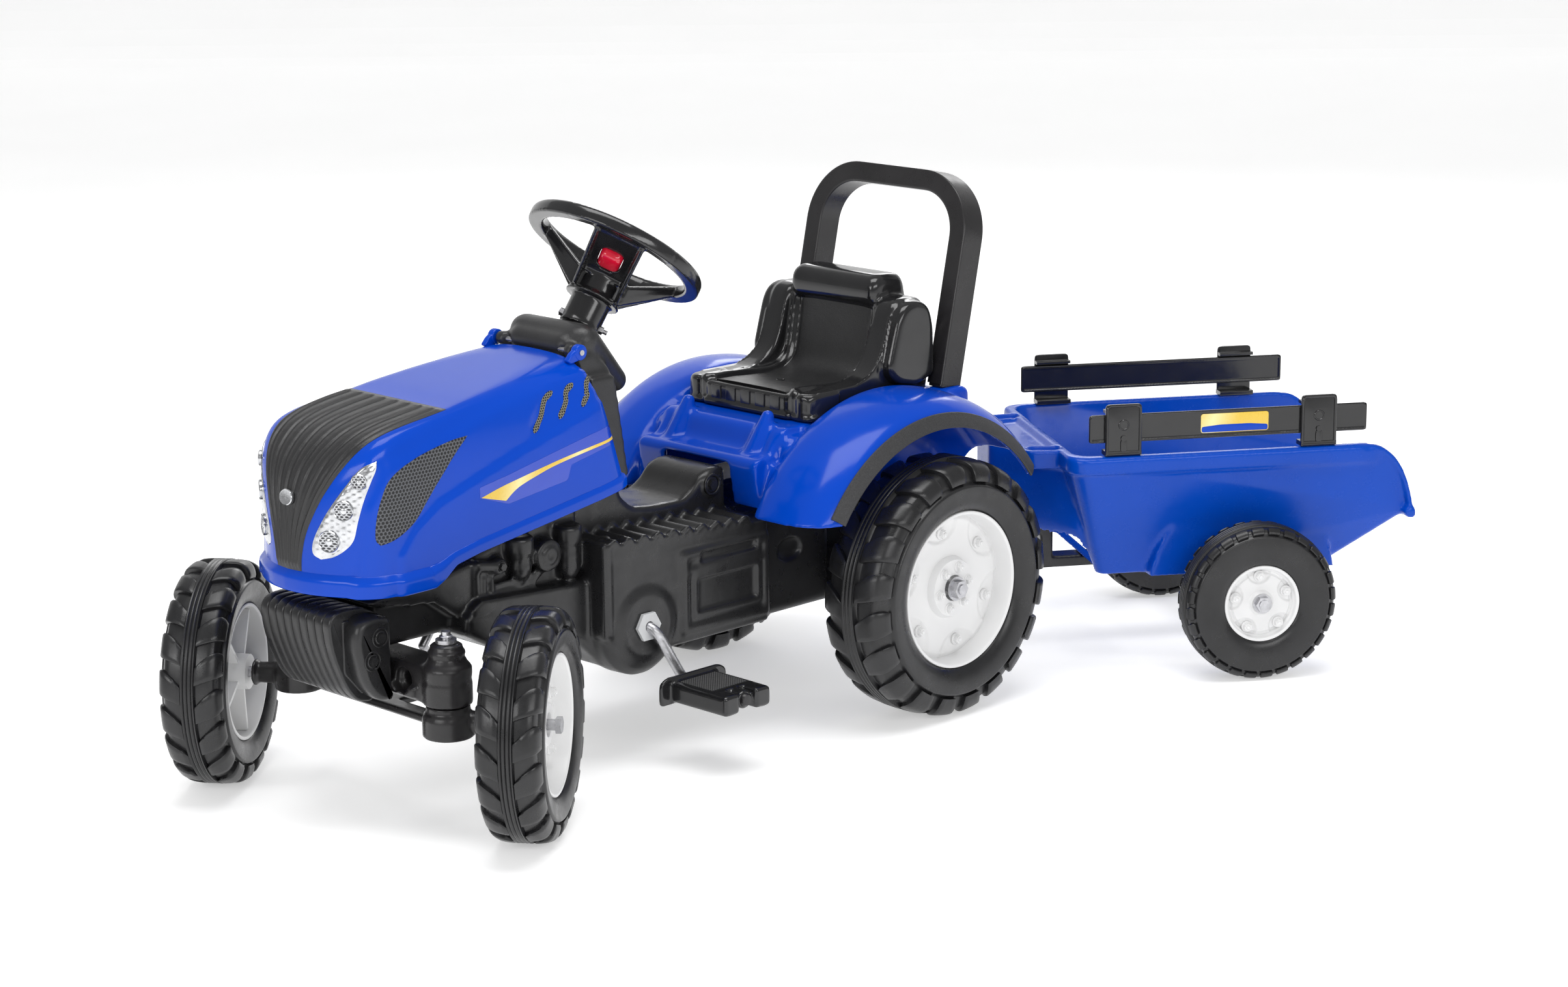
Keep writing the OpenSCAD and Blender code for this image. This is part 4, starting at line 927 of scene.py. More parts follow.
BOX_SIDE = [(187, 253), (195.6, 304), (190.5, 312), (172, 312), (161, 315.5), (151, 337), (145, 341),
            (60, 341.5), (-96, 341.5),
            (-98, 352), (-110, 352), (-118, 330), (-122, 253), (100, 253)]
BOX_INSIDE = [(181, 240), (190, 300), (186, 306), (157, 307), (144, 333), (-108, 334), (-113, 325),
              (-116, 240)]
SHOULDER = [(158, 253), (156, 322), (148, 333), (-112, 333), (-120, 320), (-122, 253)]
SHOULDER_INSIDE = [(150, 240), (148, 318), (140, 326), (-106, 326), (-114, 316), (-115, 240)]
FENDER_OUT = spline([(171, 103.5), (205, 103.8), (217, 106), (224, 112), (227, 124), (227.6, 142),
                     (226.4, 162), (222.5, 182),
                     (215.5, 197), (205.5, 207.5), (191, 215)], 44)
FENDER_IN = spline([(188, 211.5), (201, 203), (210.5, 192), (217, 178), (221, 160), (222, 142),
                    (221.5, 126), (218.5, 115),
                    (212, 109.5), (203, 108), (171, 108)], 40)


def fender_ring(section, start, arc, n=110):
    return put(lathe(section, n, "Y", arc, start), shift(14, 0, 146))


body = [plate(rounded(BOX_SIDE, 5), -97, 97), plate(rounded(SHOULDER, 6), -106, 106)]
half = [fender_ring(np.vstack([FENDER_OUT, FENDER_IN]), -55, 121),
        # posts in front of the seat, with their small neighbours
        rod((141, 65, 350), (164, 65, 308), 8.0, 14.0), ball((141, 65, 350.5), 8.1),
        rod((148, 86, 333), (160, 88, 309), 5.5, 10.0), ball((148, 86, 333), 5.6),
        # flutes that lead from the corner of the box to the fender
        rod((175, 104, 253), (164, 98, 303), 13.0, 9.5),
        rod((162, 121, 253), (151, 106, 306), 15.0, 10.0), rod((146, 140, 253), (139, 110, 306), 19.0, 13.0),
        # rounded hump behind the flutes and a small lug on the shoulder
        rod((120, 104, 334), (96, 108, 336), 8.0, 6.0), rod((78, 108, 320), (78, 108, 345), 9.0, 6.5),
        slab(rounded([(-126, 320), (-124, 352), (-116, 357), (-80, 357), (-72, 350), (-70, 320)], 5), 103,
             136, 4)]
body.append(both(join(*half)))
hollow = [plate(rounded(BOX_INSIDE, 4), -91, 91), plate(rounded(SHOULDER_INSIDE, 4), -101, 101),
          block(168, 262, -53, 53, 236, 302.5), block(90, 262, -240, 240, 200, 251.5),
          block(-180, 90, -91, 91, 200, 254)]
hollow.append(both(fender_ring([(80, 109.5), (203, 109.5), (214, 111), (220, 118), (222, 142), (221, 160),
                                (217, 178),
                                (210.5, 191), (201, 202), (190, 208), (188.5, 230), (80, 230)], -70, 150)))
piece("rear_body_shell", join(*body), "chassis", BLUE, "rear_body", voxel=2.6, soften=5,
      cut=join(*hollow), sharp=60)

for name, side in SIDES.items():
    band = fender_ring([(190.6, 215.2), (198.5, 212.0), (206.6, 206.8), (207.6, 207.6), (207.2, 209.4),
                        (199.6, 214.4), (192.2, 217.4),
                        (190.8, 216.8)], -54.5, 110.5, 200)
    piece(f"fender_strip_{name}", put(band, on_side(side)), "chassis", STRIP,
          f"fender_trim_{name}", sharp=30)

# Roll hoop in its own plane: y across, z up from the foot
HOOP = TRACTOR @ shift(-99, 0, 354.3) @ turn("Y", -12.5) @ shift(0, 0, 4)
leg = [(-116, 0), (-116, 172)]
corner = [(-54 + 62 * math.cos(a), 172 + 62 * math.sin(a)) for a in np.linspace(math.pi, math.pi / 2, 22)]
half_hoop = resample(np.array(leg + corner + [(0, 234)]), 60)
line = np.vstack([half_hoop[:-1], [(0, 234)], (half_hoop[:-1] * [-1, 1])[::-1]])
line = np.stack([np.zeros(len(line)), line[:, 0], line[:, 1]], 1)
section = rounded([(-17, -12), (-13.5, -12), (13.5, -12), (17, -12), (17, 12), (13.5, 12), (-13.5, 12),
                   (-17, 12)], 4.2, 5)
piece("roll_hoop_bar", sweep(line, section[:, ::-1] * [1, 1], up=(1, 0, 0)), "chassis", SATIN,
      "roll_hoop", m=HOOP,
      sharp=50)
for name, side in SIDES.items():
    sole = slab(rounded([(-15.5, -10.5), (15.5, -10.5), (15.5, 10.5), (-15.5, 10.5)], 3), -3.6, 0.6, 0.8,
                "xy")
    piece(f"roll_hoop_foot_{name}", put(sole, shift(0, side * 116, 0)), "chassis", SATIN,
          m=HOOP)

# Seat
PAD_LINE = spline([(103, 370.5), (80, 370), (45, 367.5), (15, 366), (-8, 369), (-22, 378), (-29, 392),
                   (-34, 415), (-38.5, 440),
                   (-41, 458)], 60)
back = [(-92, 360), (-86, 344), (109, 344)]
core = np.vstack([[(108, 344), (108, 366)], PAD_LINE - [0, 2.0], [(-46, 470), (-80, 470), (-90, 452)],
                  [(-92, 360), (-86, 344)]])
head = rounded([(-40, 450), (-31, 456), (-28.5, 468), (-31, 482), (-42, 489.2), (-66, 489), (-80, 487),
                (-88, 474), (-90, 444), (-60, 440)], 9)
wing = rounded([(109, 344), (109, 371), (60, 373), (34, 373), (10, 380), (-8, 396), (-19, 424), (-27, 452),
                (-36, 463), (-60, 466),
                (-80, 462), (-89, 446), (-92, 360), (-86, 344)],
                [4, 5, 10, 12, 20, 20, 20, 12, 10, 14, 12, 10, 8, 5])
tall = rounded([(-9, 385), (-19, 420), (-28, 449), (-40, 461), (-60, 464), (-80, 455), (-87, 430),
                (-89, 372), (-60, 362), (-24, 368)],
               [10, 20, 12, 12, 12, 14, 10, 8, 10, 12])
half = [slab(wing, 70, 99, 5.0), slab(tall, 84, 114, 7.0),
        # beads beside the pad
        sweep(np.stack([PAD_LINE[:, 0], np.interp(PAD_LINE[:, 1], [366, 380, 440], [66.5, 65, 66]),
                        PAD_LINE[:, 1] + 1.2], 1),
              circle(5.6, 14), up=(0, 1, 0)),
        # stepped corner of the front: column, notch, rounded block
        rod((104, 72, 345), (104, 72, 371), 7.0), ball((104, 72, 370), 6.8),
        slab(rounded([(60, 78), (112, 78), (112, 92), (101, 101.5), (60, 101.5)], [3, 6, 8, 9, 3]), 345,
             373.5, 4.5, "xy"),
        # flange along the bottom
        slab(rounded([(-80, 60), (108, 60), (112.5, 78), (113, 92), (104, 103.5), (20, 104), (-70, 104)],
                     8), 342, 348.5, 1.5, "xy")]
front = slab(rounded([(100, -66), (112.5, -66), (112.5, 66), (100, 66)], 4), 346, 370, 3.0, "xy")
shell = join(plate(core, -68, 68), slab(head, -69, 69, 11.0), front, both(join(*half)),
             slab(rounded([(96, -70), (114.5, -70), (114.5, 70), (96, 70)], 4), 342, 349.5, 1.6, "xy"))
piece("seat_shell", shell, "chassis", BLACK, "seat", voxel=2.0, soften=3, sharp=65)
# Grained pad along pan and back
width = np.interp(PAD_LINE[:, 1], [366, 371, 385, 430, 458], [60.5, 60.5, 58.0, 58.5, 60.0])
rows = []
for (x, z), w in zip(PAD_LINE, width):
    y = np.linspace(-1, 1, 33)
    rows.append(np.stack([np.full(33, x) + 1.3 * (1 - y**4), y * w, z + 0.2 + 2.2 * (1 - y**4)], 1))
rows = np.array(rows)
rows[:, [0, -1]] -= [1.5, 0, 3.0]
piece("seat_pad", sheet_between(rows, rows - [2.4, 0, 5.0]), "chassis", PAD, sharp=60)
# Vertical ribs on the front of the apron
ribs = [slab(rounded([(112.0, y - 7.5), (113.9, y - 7.5), (113.9, y + 7.5), (112.0, y + 7.5)], 0.8), 351.5,
             367.5, 0.7, "xy")
        for y in (-48, -24, 0, 24, 48)]
piece("seat_apron_ribs", join(*ribs), "chassis", BLACK)
piece("seat_drain", lathe([(3.2, -1), (5.0, -1), (5.0, 0.7), (4.2, 1.2), (3.2, 0.6)], 24), "chassis", BLACK,
      m=TRACTOR @ shift(55, 0, 370.6))

# Dash cowl
cowl = [plate(rounded([(362, 320), (384, 320), (417, 436), (380, 436)], 5), -73, 73),
        slab(rounded([(366, 400), (390, 330), (427, 460), (404, 464), (378, 442)], 6), -64, 64, 5)]
dome = [rod((404, -43, 471), (404, 43, 471), 19), rod((372, -34, 452), (372, 34, 452), 17),
        rod((338, -24, 417), (338, 24, 417), 14),
        rod((418, -36, 468), (418, 36, 468), 14)]
dome += [ball((404, 43, 471), 19), ball((404, -43, 471), 19), ball((418, 36, 468), 14),
         ball((418, -36, 468), 14)]
for k in np.linspace(0, 1, 14):
    dome.append(rod((338 + 64 * k, -(24 + 22 * k), 417 + 55 * k), (338 + 64 * k, 24 + 22 * k, 417 + 55 * k),
                    14 + 4.5 * k))
    dome.append(ball((338 + 64 * k, 24 + 22 * k, 417 + 55 * k), 14 + 4.5 * k))
    dome.append(ball((338 + 64 * k, -24 - 22 * k, 417 + 55 * k), 14 + 4.5 * k))
dome.append(both(rod((428, 49, 466), (428, 62, 466), 8)))
gap = put(join(rod((0, 0, -123), (0, 0, -80), 24), rod((0, 0, -210), (0, 0, -60), 16.2)),
          shift(309.6, 0, 553.7) @ turn("Y", -36.5))
piece("dash_cowl_moulding", join(*cowl, *dome), "chassis", GRAIN, "dash_cowl", voxel=2.4,
      soften=5,
      cut=join(gap, rod((428, -80, 466), (428, 80, 466), 3.0)), sharp=60)


# ---------------------------------------------------------------- chassis
def hull(*parts):
    """Convex hull of the points of some parts."""
    bm = bmesh.new()
    for v, _ in parts:
        for p in v:
            bm.verts.new(p)
    bmesh.ops.remove_doubles(bm, verts=bm.verts, dist=0.01)
    found = bmesh.ops.convex_hull(bm, input=bm.verts)
    bmesh.ops.delete(bm, geom=[g for g in found["geom_interior"] if isinstance(g, bmesh.types.BMVert)],
                     context="VERTS")
    bm.verts.index_update()
    part = np.array([v.co[:] for v in bm.verts]), [tuple(v.index for v in f.verts) for f in bm.faces]
    bm.free()
    return part


def frame_plate(x0, x1, z0, z1, width, y0, y1, edge=1.0):
    """A raised rectangular border on a side wall."""
    return join(slab([(x0, z0), (x1, z0), (x1, z0 + width), (x0, z0 + width)], y0, y1, edge),
                slab([(x0, z1 - width), (x1, z1 - width), (x1, z1), (x0, z1)], y0, y1, edge),
                slab([(x0, z0), (x0 + width, z0), (x0 + width, z1), (x0, z1)], y0, y1, edge),
                slab([(x1 - width, z0), (x1, z0), (x1, z1), (x1 - width, z1)], y0, y1, edge))


SPINE = [(-96, 140), (-96, 236), (-60, 248), (190, 248), (191, 298.5), (214, 299), (230, 292), (240, 280),
         (258, 270), (300, 271),
         (332, 275), (350, 290), (356, 317), (386, 312), (640, 250), (700, 250), (700, 188), (560, 188),
         (530, 162), (440, 150),
         (401, 112), (311, 126), (158, 126), (71, 118), (-40, 118)]
LOWER = [(-50, 118), (-50, 230), (-20, 246), (422, 246), (424, 216), (575, 209), (596, 209), (600, 188),
         (552, 161), (440, 147),
         (401, 109), (311, 125), (158, 125), (71, 119)]
wave = np.arange(200, 424.1, 2.0)
ripple = 249.5 + 0.04 * (wave - 200) + 3.6 * np.cos((wave - 211) * 2 * math.pi / 22)
tread = np.concatenate([np.stack([wave, ripple], 1),
                        [(424, 236), (200, 236)]])
chassis = [slab(rounded(SPINE, 7), -46, 46, 4.5), slab(rounded(LOWER, 7), -74, 74, 7),
           slab(rounded([(60, 122), (60, 240), (190, 240), (190, 122)], 8), -86, 86, 12),
           slab(rounded([(424, 206), (424, 298), (436, 298), (575, 266), (575, 206)], 3), -54, 54, 3),
           slab(rounded([(572, 206), (572, 264), (600, 259), (640, 249), (702, 249), (716, 242), (700, 236),
                         (631, 229), (600, 206)], 4),
                -62, 62, 5),
           slab(rounded([(-36, 120), (-36, 182), (36, 182), (36, 120)], 9), -132, 132, 6)]
half = [plate(tread, 44, 98), slab(rounded([(172, 122), (172, 244), (424, 247), (424, 150), (411, 132),
                                            (400, 122)], [6, 4, 4, 8, 8, 10]), 60, 97, 5),
        # edge bead along the footboard, and the upright corner of the box next to the engine
        sweep(np.stack([wave, 97 + 0.9 * np.cos((wave - 211) * 2 * math.pi / 22), 247.4 + 0.04 * (wave - 200)
                        + 3.4 * np.cos((wave - 211) * 2 * math.pi / 22)], 1), circle(2.6, 10), up=(0, 1, 0)),
        slab(rounded([(413, 150), (413, 258), (426, 258), (426, 150)], 4), 50, 99, 3),
        # frames on the side wall
        frame_plate(174, 309, 133, 227, 9, 94, 100, 1.4), frame_plate(188, 291, 150, 198, 4.5, 94, 99.4, 1.2),
        slab([(186, 199), (298, 199), (298, 207), (186, 207)], 94, 99.4, 1.2),
        frame_plate(188, 284, 207, 226, 3.2, 94, 98.8, 1),
        # crank boss
        put(lathe([(0, 50), (58, 60), (57, 88), (50, 96), (38, 100), (31, 101.2), (29, 100), (22, 100),
                   (0, 100)], 72, "Y"),
            shift(CRANK[0], 0, CRANK[1])),
        # axle tube and its collar
        rod((0, 60, 150), (0, 143, 150), 30), put(lathe([(0, 128), (33, 128), (33, 137), (0, 137)], 48,
                                                        "Y"), shift(0, 0, 150)),
        # nut bosses of the saddle
        rod((214, 40, 281), (214, 48.5, 281), 12.5),
        # engine: raised ledge, wall ribs, pump with bracket, hose and knob
        slab(rounded([(424, 206), (424, 213), (575, 222), (589, 214), (589, 206)], 2), 40, 74, 3),
        slab(rounded([(571, 222), (571, 262), (577, 262), (577, 222)], 1.5), 50, 66, 2),
        rod((574, 62, 257), (543, 63, 251.5), 6.5), rod((543, 56, 251.5), (543, 68, 251.5), 9.0),
        rod((552, 60, 240), (574, 60, 243), 4.2), rod((554, 62, 216), (553, 62, 242), 3.4),
        rod((565, 62, 216), (564, 62, 244), 3.4)]
for x, low in ((512, 231), (443, 219)):
    half += [lathe([(0, low - 5), (5, low - 5), (6, low - 1), (10.5, low + 4), (13.4, low + 10),
                    (13.4, 262), (0, 262)], 40)]
    half[-1] = put(half[-1], shift(x, 60, 0))
    half.append(put(lathe([(0, 259), (15.6, 259), (16.2, 261), (16.2, 276), (14, 279), (0, 279)], 20),
                    shift(x, 60, 0)))
    half.append(put(lathe([(0, 244), (14.1, 244), (14.1, 246), (0, 246)], 40), shift(x, 60, 0)))
for k in range(3):
    d = 7.4 * k
    half.append(pipe([(572, 60, 214.5 + d), (540, 61, 216 + d), (512 - d * 0.1, 61, 217.5 + d),
                      (496 - d * 0.6, 62, 221 + d * 0.9),
                      (486 - d * 0.9 + 5, 62, 230 + d * 0.4), (481 - d * 0.9 + 7, 62, 246)], 2.9, 12, 40))
for k in range(4):
    half.append(put(lathe([(0, -7), (8, -6), (11.4, 0), (8, 6), (0, 7)], 32), shift(408, 80, 214 + 11.5 * k)))
half += [ball((396, 92, 231), 6.2, 20), rod((396, 80, 231), (396, 92, 231), 3.4),
         rod((408, 80, 206), (408, 80, 262), 7.4)]
chassis.append(both(join(*half)))
pulley = put(join(lathe([(0, 50), (18, 50), (18, 70), (16.5, 72.4), (13.5, 72.4), (12.5, 70), (10.5, 70),
                         (9.5, 73.5), (6.0, 74.5), (5.2, 72.5),
                         (0, 72.5)], 48, "Y")), shift(478.5, 0, 252))
chassis.append(both(pulley))
drilled = [plate([(-50, 90), (-50, 196), (425, 214), (425, 90)], -16, 16),
           rod((0, -160, 150), (0, 160, 150), 9.1), rod((365, -130, 156), (365, 130, 156), 11.1),
           put(join(rod((0, 0, -490), (0, 0, -130), 8.2), rod((0, 0, -143), (0, 0, 20), 16.2)),
               shift(309.6, 0, 553.7) @ turn("Y", -36.5)),
           both(join(slab(rounded([(194.5, 155), (284.5, 155), (284.5, 193), (194.5, 193)], 2), 95.2, 110,
                          0.8),
                     slab(rounded([(193, 211), (280, 211), (280, 222.5), (193, 222.5)], 1.5), 94.6, 110, 0.8),
                     # hollows behind the panel and in the side of the front
                     put(ball((0, 0, 0), 1.0, 40), shift(128, 88, 196) @ Matrix.Diagonal((22, 10, 15, 1))),
                     slab(rounded([(206, 284), (222, 284), (226, 276), (222, 270), (206, 270), (202, 276)],
                                  2), 47, 60, 0.5)))]
piece("chassis_blow_moulding", join(*chassis), "chassis", CHASSIS, "chassis", voxel=2.1,
      soften=2,
      cut=join(*drilled), sharp=60)
nut = hex_bolt(11.5, 3.0, 9.2, 0)
piece("saddle_nuts", both(put(nut, shift(214, 47.4, 281))), "chassis", CHASSIS, sharp=30)
ring = lathe([(9.4, 0), (12.6, 0), (12.6, 2.0), (11.8, 2.7), (10.2, 2.7), (9.4, 2.0)], 40, "Y")
piece("saddle_rings", both(put(ring, shift(214, 47.2, 281))), "chassis", CHASSIS)
bolt = join(put(hex_bolt(8, 3, 6.0, 0), shift(543, 67.5, 251.5)))
piece("engine_bolts", both(bolt), "chassis", CHASSIS, sharp=30)

# Front weights
WEIGHT = rounded([(704, 176), (704, 232), (722, 241.5), (744, 243), (759, 241), (766.5, 231), (763, 200),
                  (747, 160), (733, 143), (716, 139),
                  (704, 146)], [2, 4, 8, 8, 8, 8, 20, 14, 8, 6, 4])
weights = [slab(WEIGHT, 13 * k - 6.4, 13 * k + 6.4, 2.6) for k in range(-4, 5)]
weights.append(slab(rounded([(703, 150), (703, 232), (750, 232), (750, 176), (728, 150)], 4), -60, 60, 2))
cheek = slab(rounded([(703, 142), (703, 231), (722, 238), (745, 233), (751, 210), (738, 162), (720, 144)],
                     [3, 6, 10, 12, 16, 14, 10]), 54, 82, 8, steps=6)
piece("front_weights", join(*weights, both(cheek)), "chassis", CHASSIS, "weight_block",
      sharp=35)
bolts = []
for x, z in ((719, 213), (730, 190)):
    bolts.append(put(join(hex_bolt(10, 2.6, 7.0, 0), lathe([(8.6, -1), (10.8, -1), (10.8, 0.9), (10.2, 1.5),
                                                            (9.2, 1.5), (8.6, 0.9)], 36, "Y")),
                     shift(x, 81.6, z)))
piece("front_weight_bolts", both(join(*bolts)), "chassis", CHASSIS, sharp=30)

# Front axle beam, knuckles and tie rod
beam = [slab(rounded([(645, 143), (693, 143), (693, 181), (645, 181)], 5), -122, 122, 3)]
end = [lathe([(0, 141), (25, 141), (26, 143), (26, 165), (24.5, 168), (26, 171), (26, 180), (23, 184.5),
              (20.5, 185), (20.5, 189), (18.2, 190), (18.2, 193.5),
              (20, 194.5), (20, 197.5), (17, 199), (17, 203.5), (14, 205.5), (0, 205.5)], 56)]
beam.append(both(put(join(*end), shift(WHEELBASE, KINGPIN, 0))))
beam.append(both(join(slab(rounded([(640, 148), (700, 148), (700, 160), (640, 160)], 3), 40, 108, 3))))
holes = both(join(rod((686, 84, 163), (705, 84, 163), 12.5, 15.5),
                  rod((634, 84, 163), (652, 84, 163), 15, 12.5), rod((640, 84, 163), (700, 84, 163), 8),
                  rod((WHEELBASE, KINGPIN, 120), (WHEELBASE, KINGPIN, 230), 5.1)))
piece("front_beam", join(*beam), "chassis", SATIN, "front_axle", voxel=1.8, soften=1,
      cut=holes, sharp=60)
for name, side in SIDES.items():
    at = knuckle_at(side) @ on_side(side)
    cup = [lathe([(0, 106), (25, 106), (27.3, 107.5), (27.3, 127), (26, 128.5), (26, 131), (23, 133),
                  (23, 140.3), (0, 140.3)], 56),
           rod((0, 0, 122), (0, 49.5, 122), 13.0, 11.0), rod((0, 46, 122), (0, 50, 122), 14.5),
           slab(rounded([(-50, 11), (0, 14), (0, -14), (-50, -11)], 2), 106.3, 116, 1.2, "xy"),
           put(lathe([(0, 106.3), (13, 106.3), (13, 116), (0, 116)], 36), shift(-50, 0, 0)),
           rod((-50, 0, 92), (-50, 0, 108), 5.0),
           slab(rounded([(-4, 114), (-4, 130), (4, 130), (4, 114)], 1), 20, 44, 1)]
    piece(f"knuckle_moulding_{name}", join(*cup), f"knuckle_{name}", SATIN,
          f"knuckle_{name}", m=at, voxel=1.5, soften=1,
          cut=join(rod((0, 0, 109.5), (0, 0, 160), 5.15), rod((0, 16, 122), (0, 70, 122), 6.05)), sharp=60)
rod_at = TRACTOR @ shift(WHEELBASE - 50 * math.cos(math.radians(STEER)),
                         -50 * math.sin(math.radians(STEER)), 96)
tie = [slab(rounded([(-10, -118), (10, -118), (10, 118), (-10, 118)], 2), 0.2, 8.8, 1.5, "xy"),
       slab(rounded([(-6, -112), (6, -112), (6, 112), (-6, 112)], 2), -2.4, 3, 1, "xy"),
       slab(rounded([(-61, -12), (-8, -12), (-8, 12), (-61, 12)], 4), 0.2, 8.8, 1.5, "xy")]
for side in (1, -1):
    tie += [put(lathe([(0, 0.2), (12, 0.2), (13, 1.2), (13, 7.8), (12, 8.8), (0, 8.8)], 36),
                shift(0, side * KINGPIN, 0)),
            slab(rounded([(-61.5, 1), (-61.5, 27), (-35, 27), (-35, 1)], 3), side * 5.5, side * 9.3,
                 0.5 * side)]
piece("tie_rod_moulding", join(*tie), "tie_rod", SATIN, "tie_rod", m=rod_at, voxel=1.4,
      soften=1,
      cut=join(rod((0, KINGPIN, -5), (0, KINGPIN, 15), 5.1), rod((0, -KINGPIN, -5), (0, -KINGPIN, 15), 6)),
      sharp=60)


# ---------------------------------------------------------------- steering wheel
WHEEL = COLUMN @ turn("Z", SPOKE)
round_path = np.linspace(0, 360, 288, endpoint=False)
tight = np.ones((288, 2))
for a in (38, 152, 208, 322):
    k = int(round(a / 1.25))
    tight[k:k + 1] = 0.955
path = np.stack([94.3 * np.cos(np.radians(round_path)), 94.3 * np.sin(np.radians(round_path)),
                 np.zeros(288)], 1)
rim_section = rounded([(-8.2, -8.9), (8.2, -8.9), (8.9, 2), (6.0, 7.2), (-5.2, 8.4), (-8.9, 2)],
                      [2.2, 2.2, 4, 3.5, 4, 5], 6)
wheel = [sweep(path, rim_section, up=(0, 0, 1), closed=True, scale=tight)]
hub = [lathe([(0, -27), (24, -27), (28, -29), (28.6, -34), (29, -58), (31.4, -60.5), (31.4, -63), (0, -63)],
             72),
       lathe([(0, -60), (22.6, -60), (22.4, -92), (23.2, -94), (23.2, -97), (0, -97)], 64)]
for a in (120, 240):
    arm = [hull(rod((20, -20, -50), (20, -20, -46), 3), rod((20, 20, -50), (20, 20, -46), 3),
                rod((86, -5, -7), (86, -5, -4), 3),
                rod((86, 5, -7), (86, 5, -4), 3))]
    for s in (1, -1):
        arm.append(hull(rod((22, s * 20, -56), (22, s * 20, -34), 2.6),
                        rod((87, s * 4.5, -8), (87, s * 4.5, 3), 2.6)))
    arm.append(hull(rod((24, 0, -62), (24, 0, -50), 2.2), rod((88, 0, -8), (88, 0, -4), 2.2)))
    wheel.append(put(join(*arm), turn("Z", a)))
arm = [hull(rod((27, -24, -37), (27, -24, -33), 2), rod((27, 24, -37), (27, 24, -33), 2),
            rod((86, -26, -11), (86, -26, -6), 2),
            rod((86, 26, -11), (86, 26, -6), 2)),
       hull(rod((26, -22, -42), (26, -22, -33), 2), rod((26, 22, -42), (26, 22, -33), 2))]
for s in (1, -1):
    arm.append(hull(rod((24, s * 25, -60), (24, s * 24, -32), 2.4),
                    rod((89, s * 27, -12), (89, s * 27, 4), 2.4)))
wheel += arm
button_gap = put(slab(rounded([(-15.6, -13.4), (16.4, -13.4), (16.4, 13.4), (-15.6, 13.4)], 9), -40, 30,
                      0.2, "xy"),
                 shift(46, 0, -7) @ turn("Y", -14))
bore = [rod((0, 0, -120), (0, 0, -38), 5.1), rod((0, -60, -89), (0, 60, -89), 2.6), button_gap,
        block(33, 41, -7, 7, -46, -20)]
piece("steering_wheel_spokes", join(*wheel, *hub), "steering", BLACK, "steering_wheel",
      m=WHEEL, voxel=1.3, soften=1,
      cut=join(*bore), sharp=55)
horn = []
for inset, z in ((7.5, -26.5), (4.0, -26), (1.8, -24.6), (0.5, -22), (0, -18), (0, 4.5), (0.7, 7.3),
                 (2.2, 9.2), (4.5, 10.1), (7.5, 10.5)):
    horn.append(np.c_[rounded([(-15 + inset, -13 + inset), (16 - inset, -13 + inset),
                               (16 - inset, 13 - inset), (-15 + inset, 13 - inset)],
                              max(8.5 - inset * 0.6, 2), 8), np.full(36, z)])
piece("horn_cap", grid(np.array(horn), close_v=True, caps=True), "horn", RED, "horn_button",
      m=WHEEL @ shift(46, 0, -7) @ turn("Y", -14), sharp=50)
collar = lathe([(5.1, -140), (15.8, -140), (15.8, -110), (21, -109), (22, -108), (22, -105.5),
                (20.6, -104.6), (20.6, -103.4), (21.4, -102.6),
                (21.4, -99.4), (20, -98.2), (5.1, -98.2)], 64)
piece("steering_bush_rings", collar, "chassis", SATIN, "steering_bush", m=COLUMN, sharp=35)

# ---------------------------------------------------------------- drive
px, pz = PIN
inward = Vector((-pz, 0, px)).normalized()
crank = rounded([(CRANK[0] - px, -209, CRANK[1] - pz), (CRANK[0] - px, -112, CRANK[1] - pz),
                 (CRANK[0], -112, CRANK[1]), (CRANK[0], 112, CRANK[1]),
                 (CRANK[0] + px, 112, CRANK[1] + pz), (CRANK[0] + px, 209, CRANK[1] + pz)], 17, 10,
                 closed=False)
piece("crank_bent_rod", sweep(crank, circle(6.0, 28), up=inward[:]), "crank", STEEL,
      "crankshaft")
for name, side in SIDES.items():
    at = TRACTOR @ shift(CRANK[0] + side * px, 0, CRANK[1] + side * pz) @ on_side(side)
    block_ = [slab(rounded([(-35, -11.5), (-35, 8.5), (-30, 11), (30, 11), (35, 8.5), (35, -11.5),
                            (28, -13), (-28, -13)], 4), 124, 190, 2.5),
              slab(rounded([(-35, -11.5), (-35, 8.5), (-30, 10.6), (-14, 10.6), (-12, 8), (-12, -12),
                            (-28, -13)], 4), 184, 211, 4),
              slab(rounded([(35, -11.5), (35, 8.5), (30, 10.6), (14, 10.6), (12, 8), (12, -12), (28, -13)],
                           4), 184, 211, 4),
              lathe([(6.2, 150), (10.4, 150), (10.4, 204), (9.4, 206), (6.2, 206)], 40, "Y"),
              slab(rounded([(-50, -15), (-50, 10), (-40, 16), (40, 16), (50, 10), (50, -15)], 5), 121, 126,
                   1.6)]
    gap = join(rod((0, 100, 0), (0, 230, 0), 6.1), slab(rounded([(-27, 9.8), (27, 9.8), (27, 14), (-27,
            14)], 0.5), 131, 182, 0.4))
    piece(f"pedal_block_{name}", join(*block_), f"pedal_{name}", BLACK, f"pedal_{name}",
          m=at, voxel=1.2, soften=2, cut=gap,
          sharp=60)
    studs = slab(rounded([(-26.6, 9.0), (26.6, 9.0), (26.6, 11.2), (-26.6, 11.2)], 0.6), 131.4, 181.6, 0.4)
    piece(f"pedal_tread_{name}", studs, f"pedal_{name}", DIMPLE, m=at)
    cap = lathe([(0, 205), (7.5, 205), (7.5, 207.5), (6, 209.5), (0, 210)], 32, "Y")
    piece(f"pedal_end_cap_{name}", cap, f"pedal_{name}", SATIN, m=at)

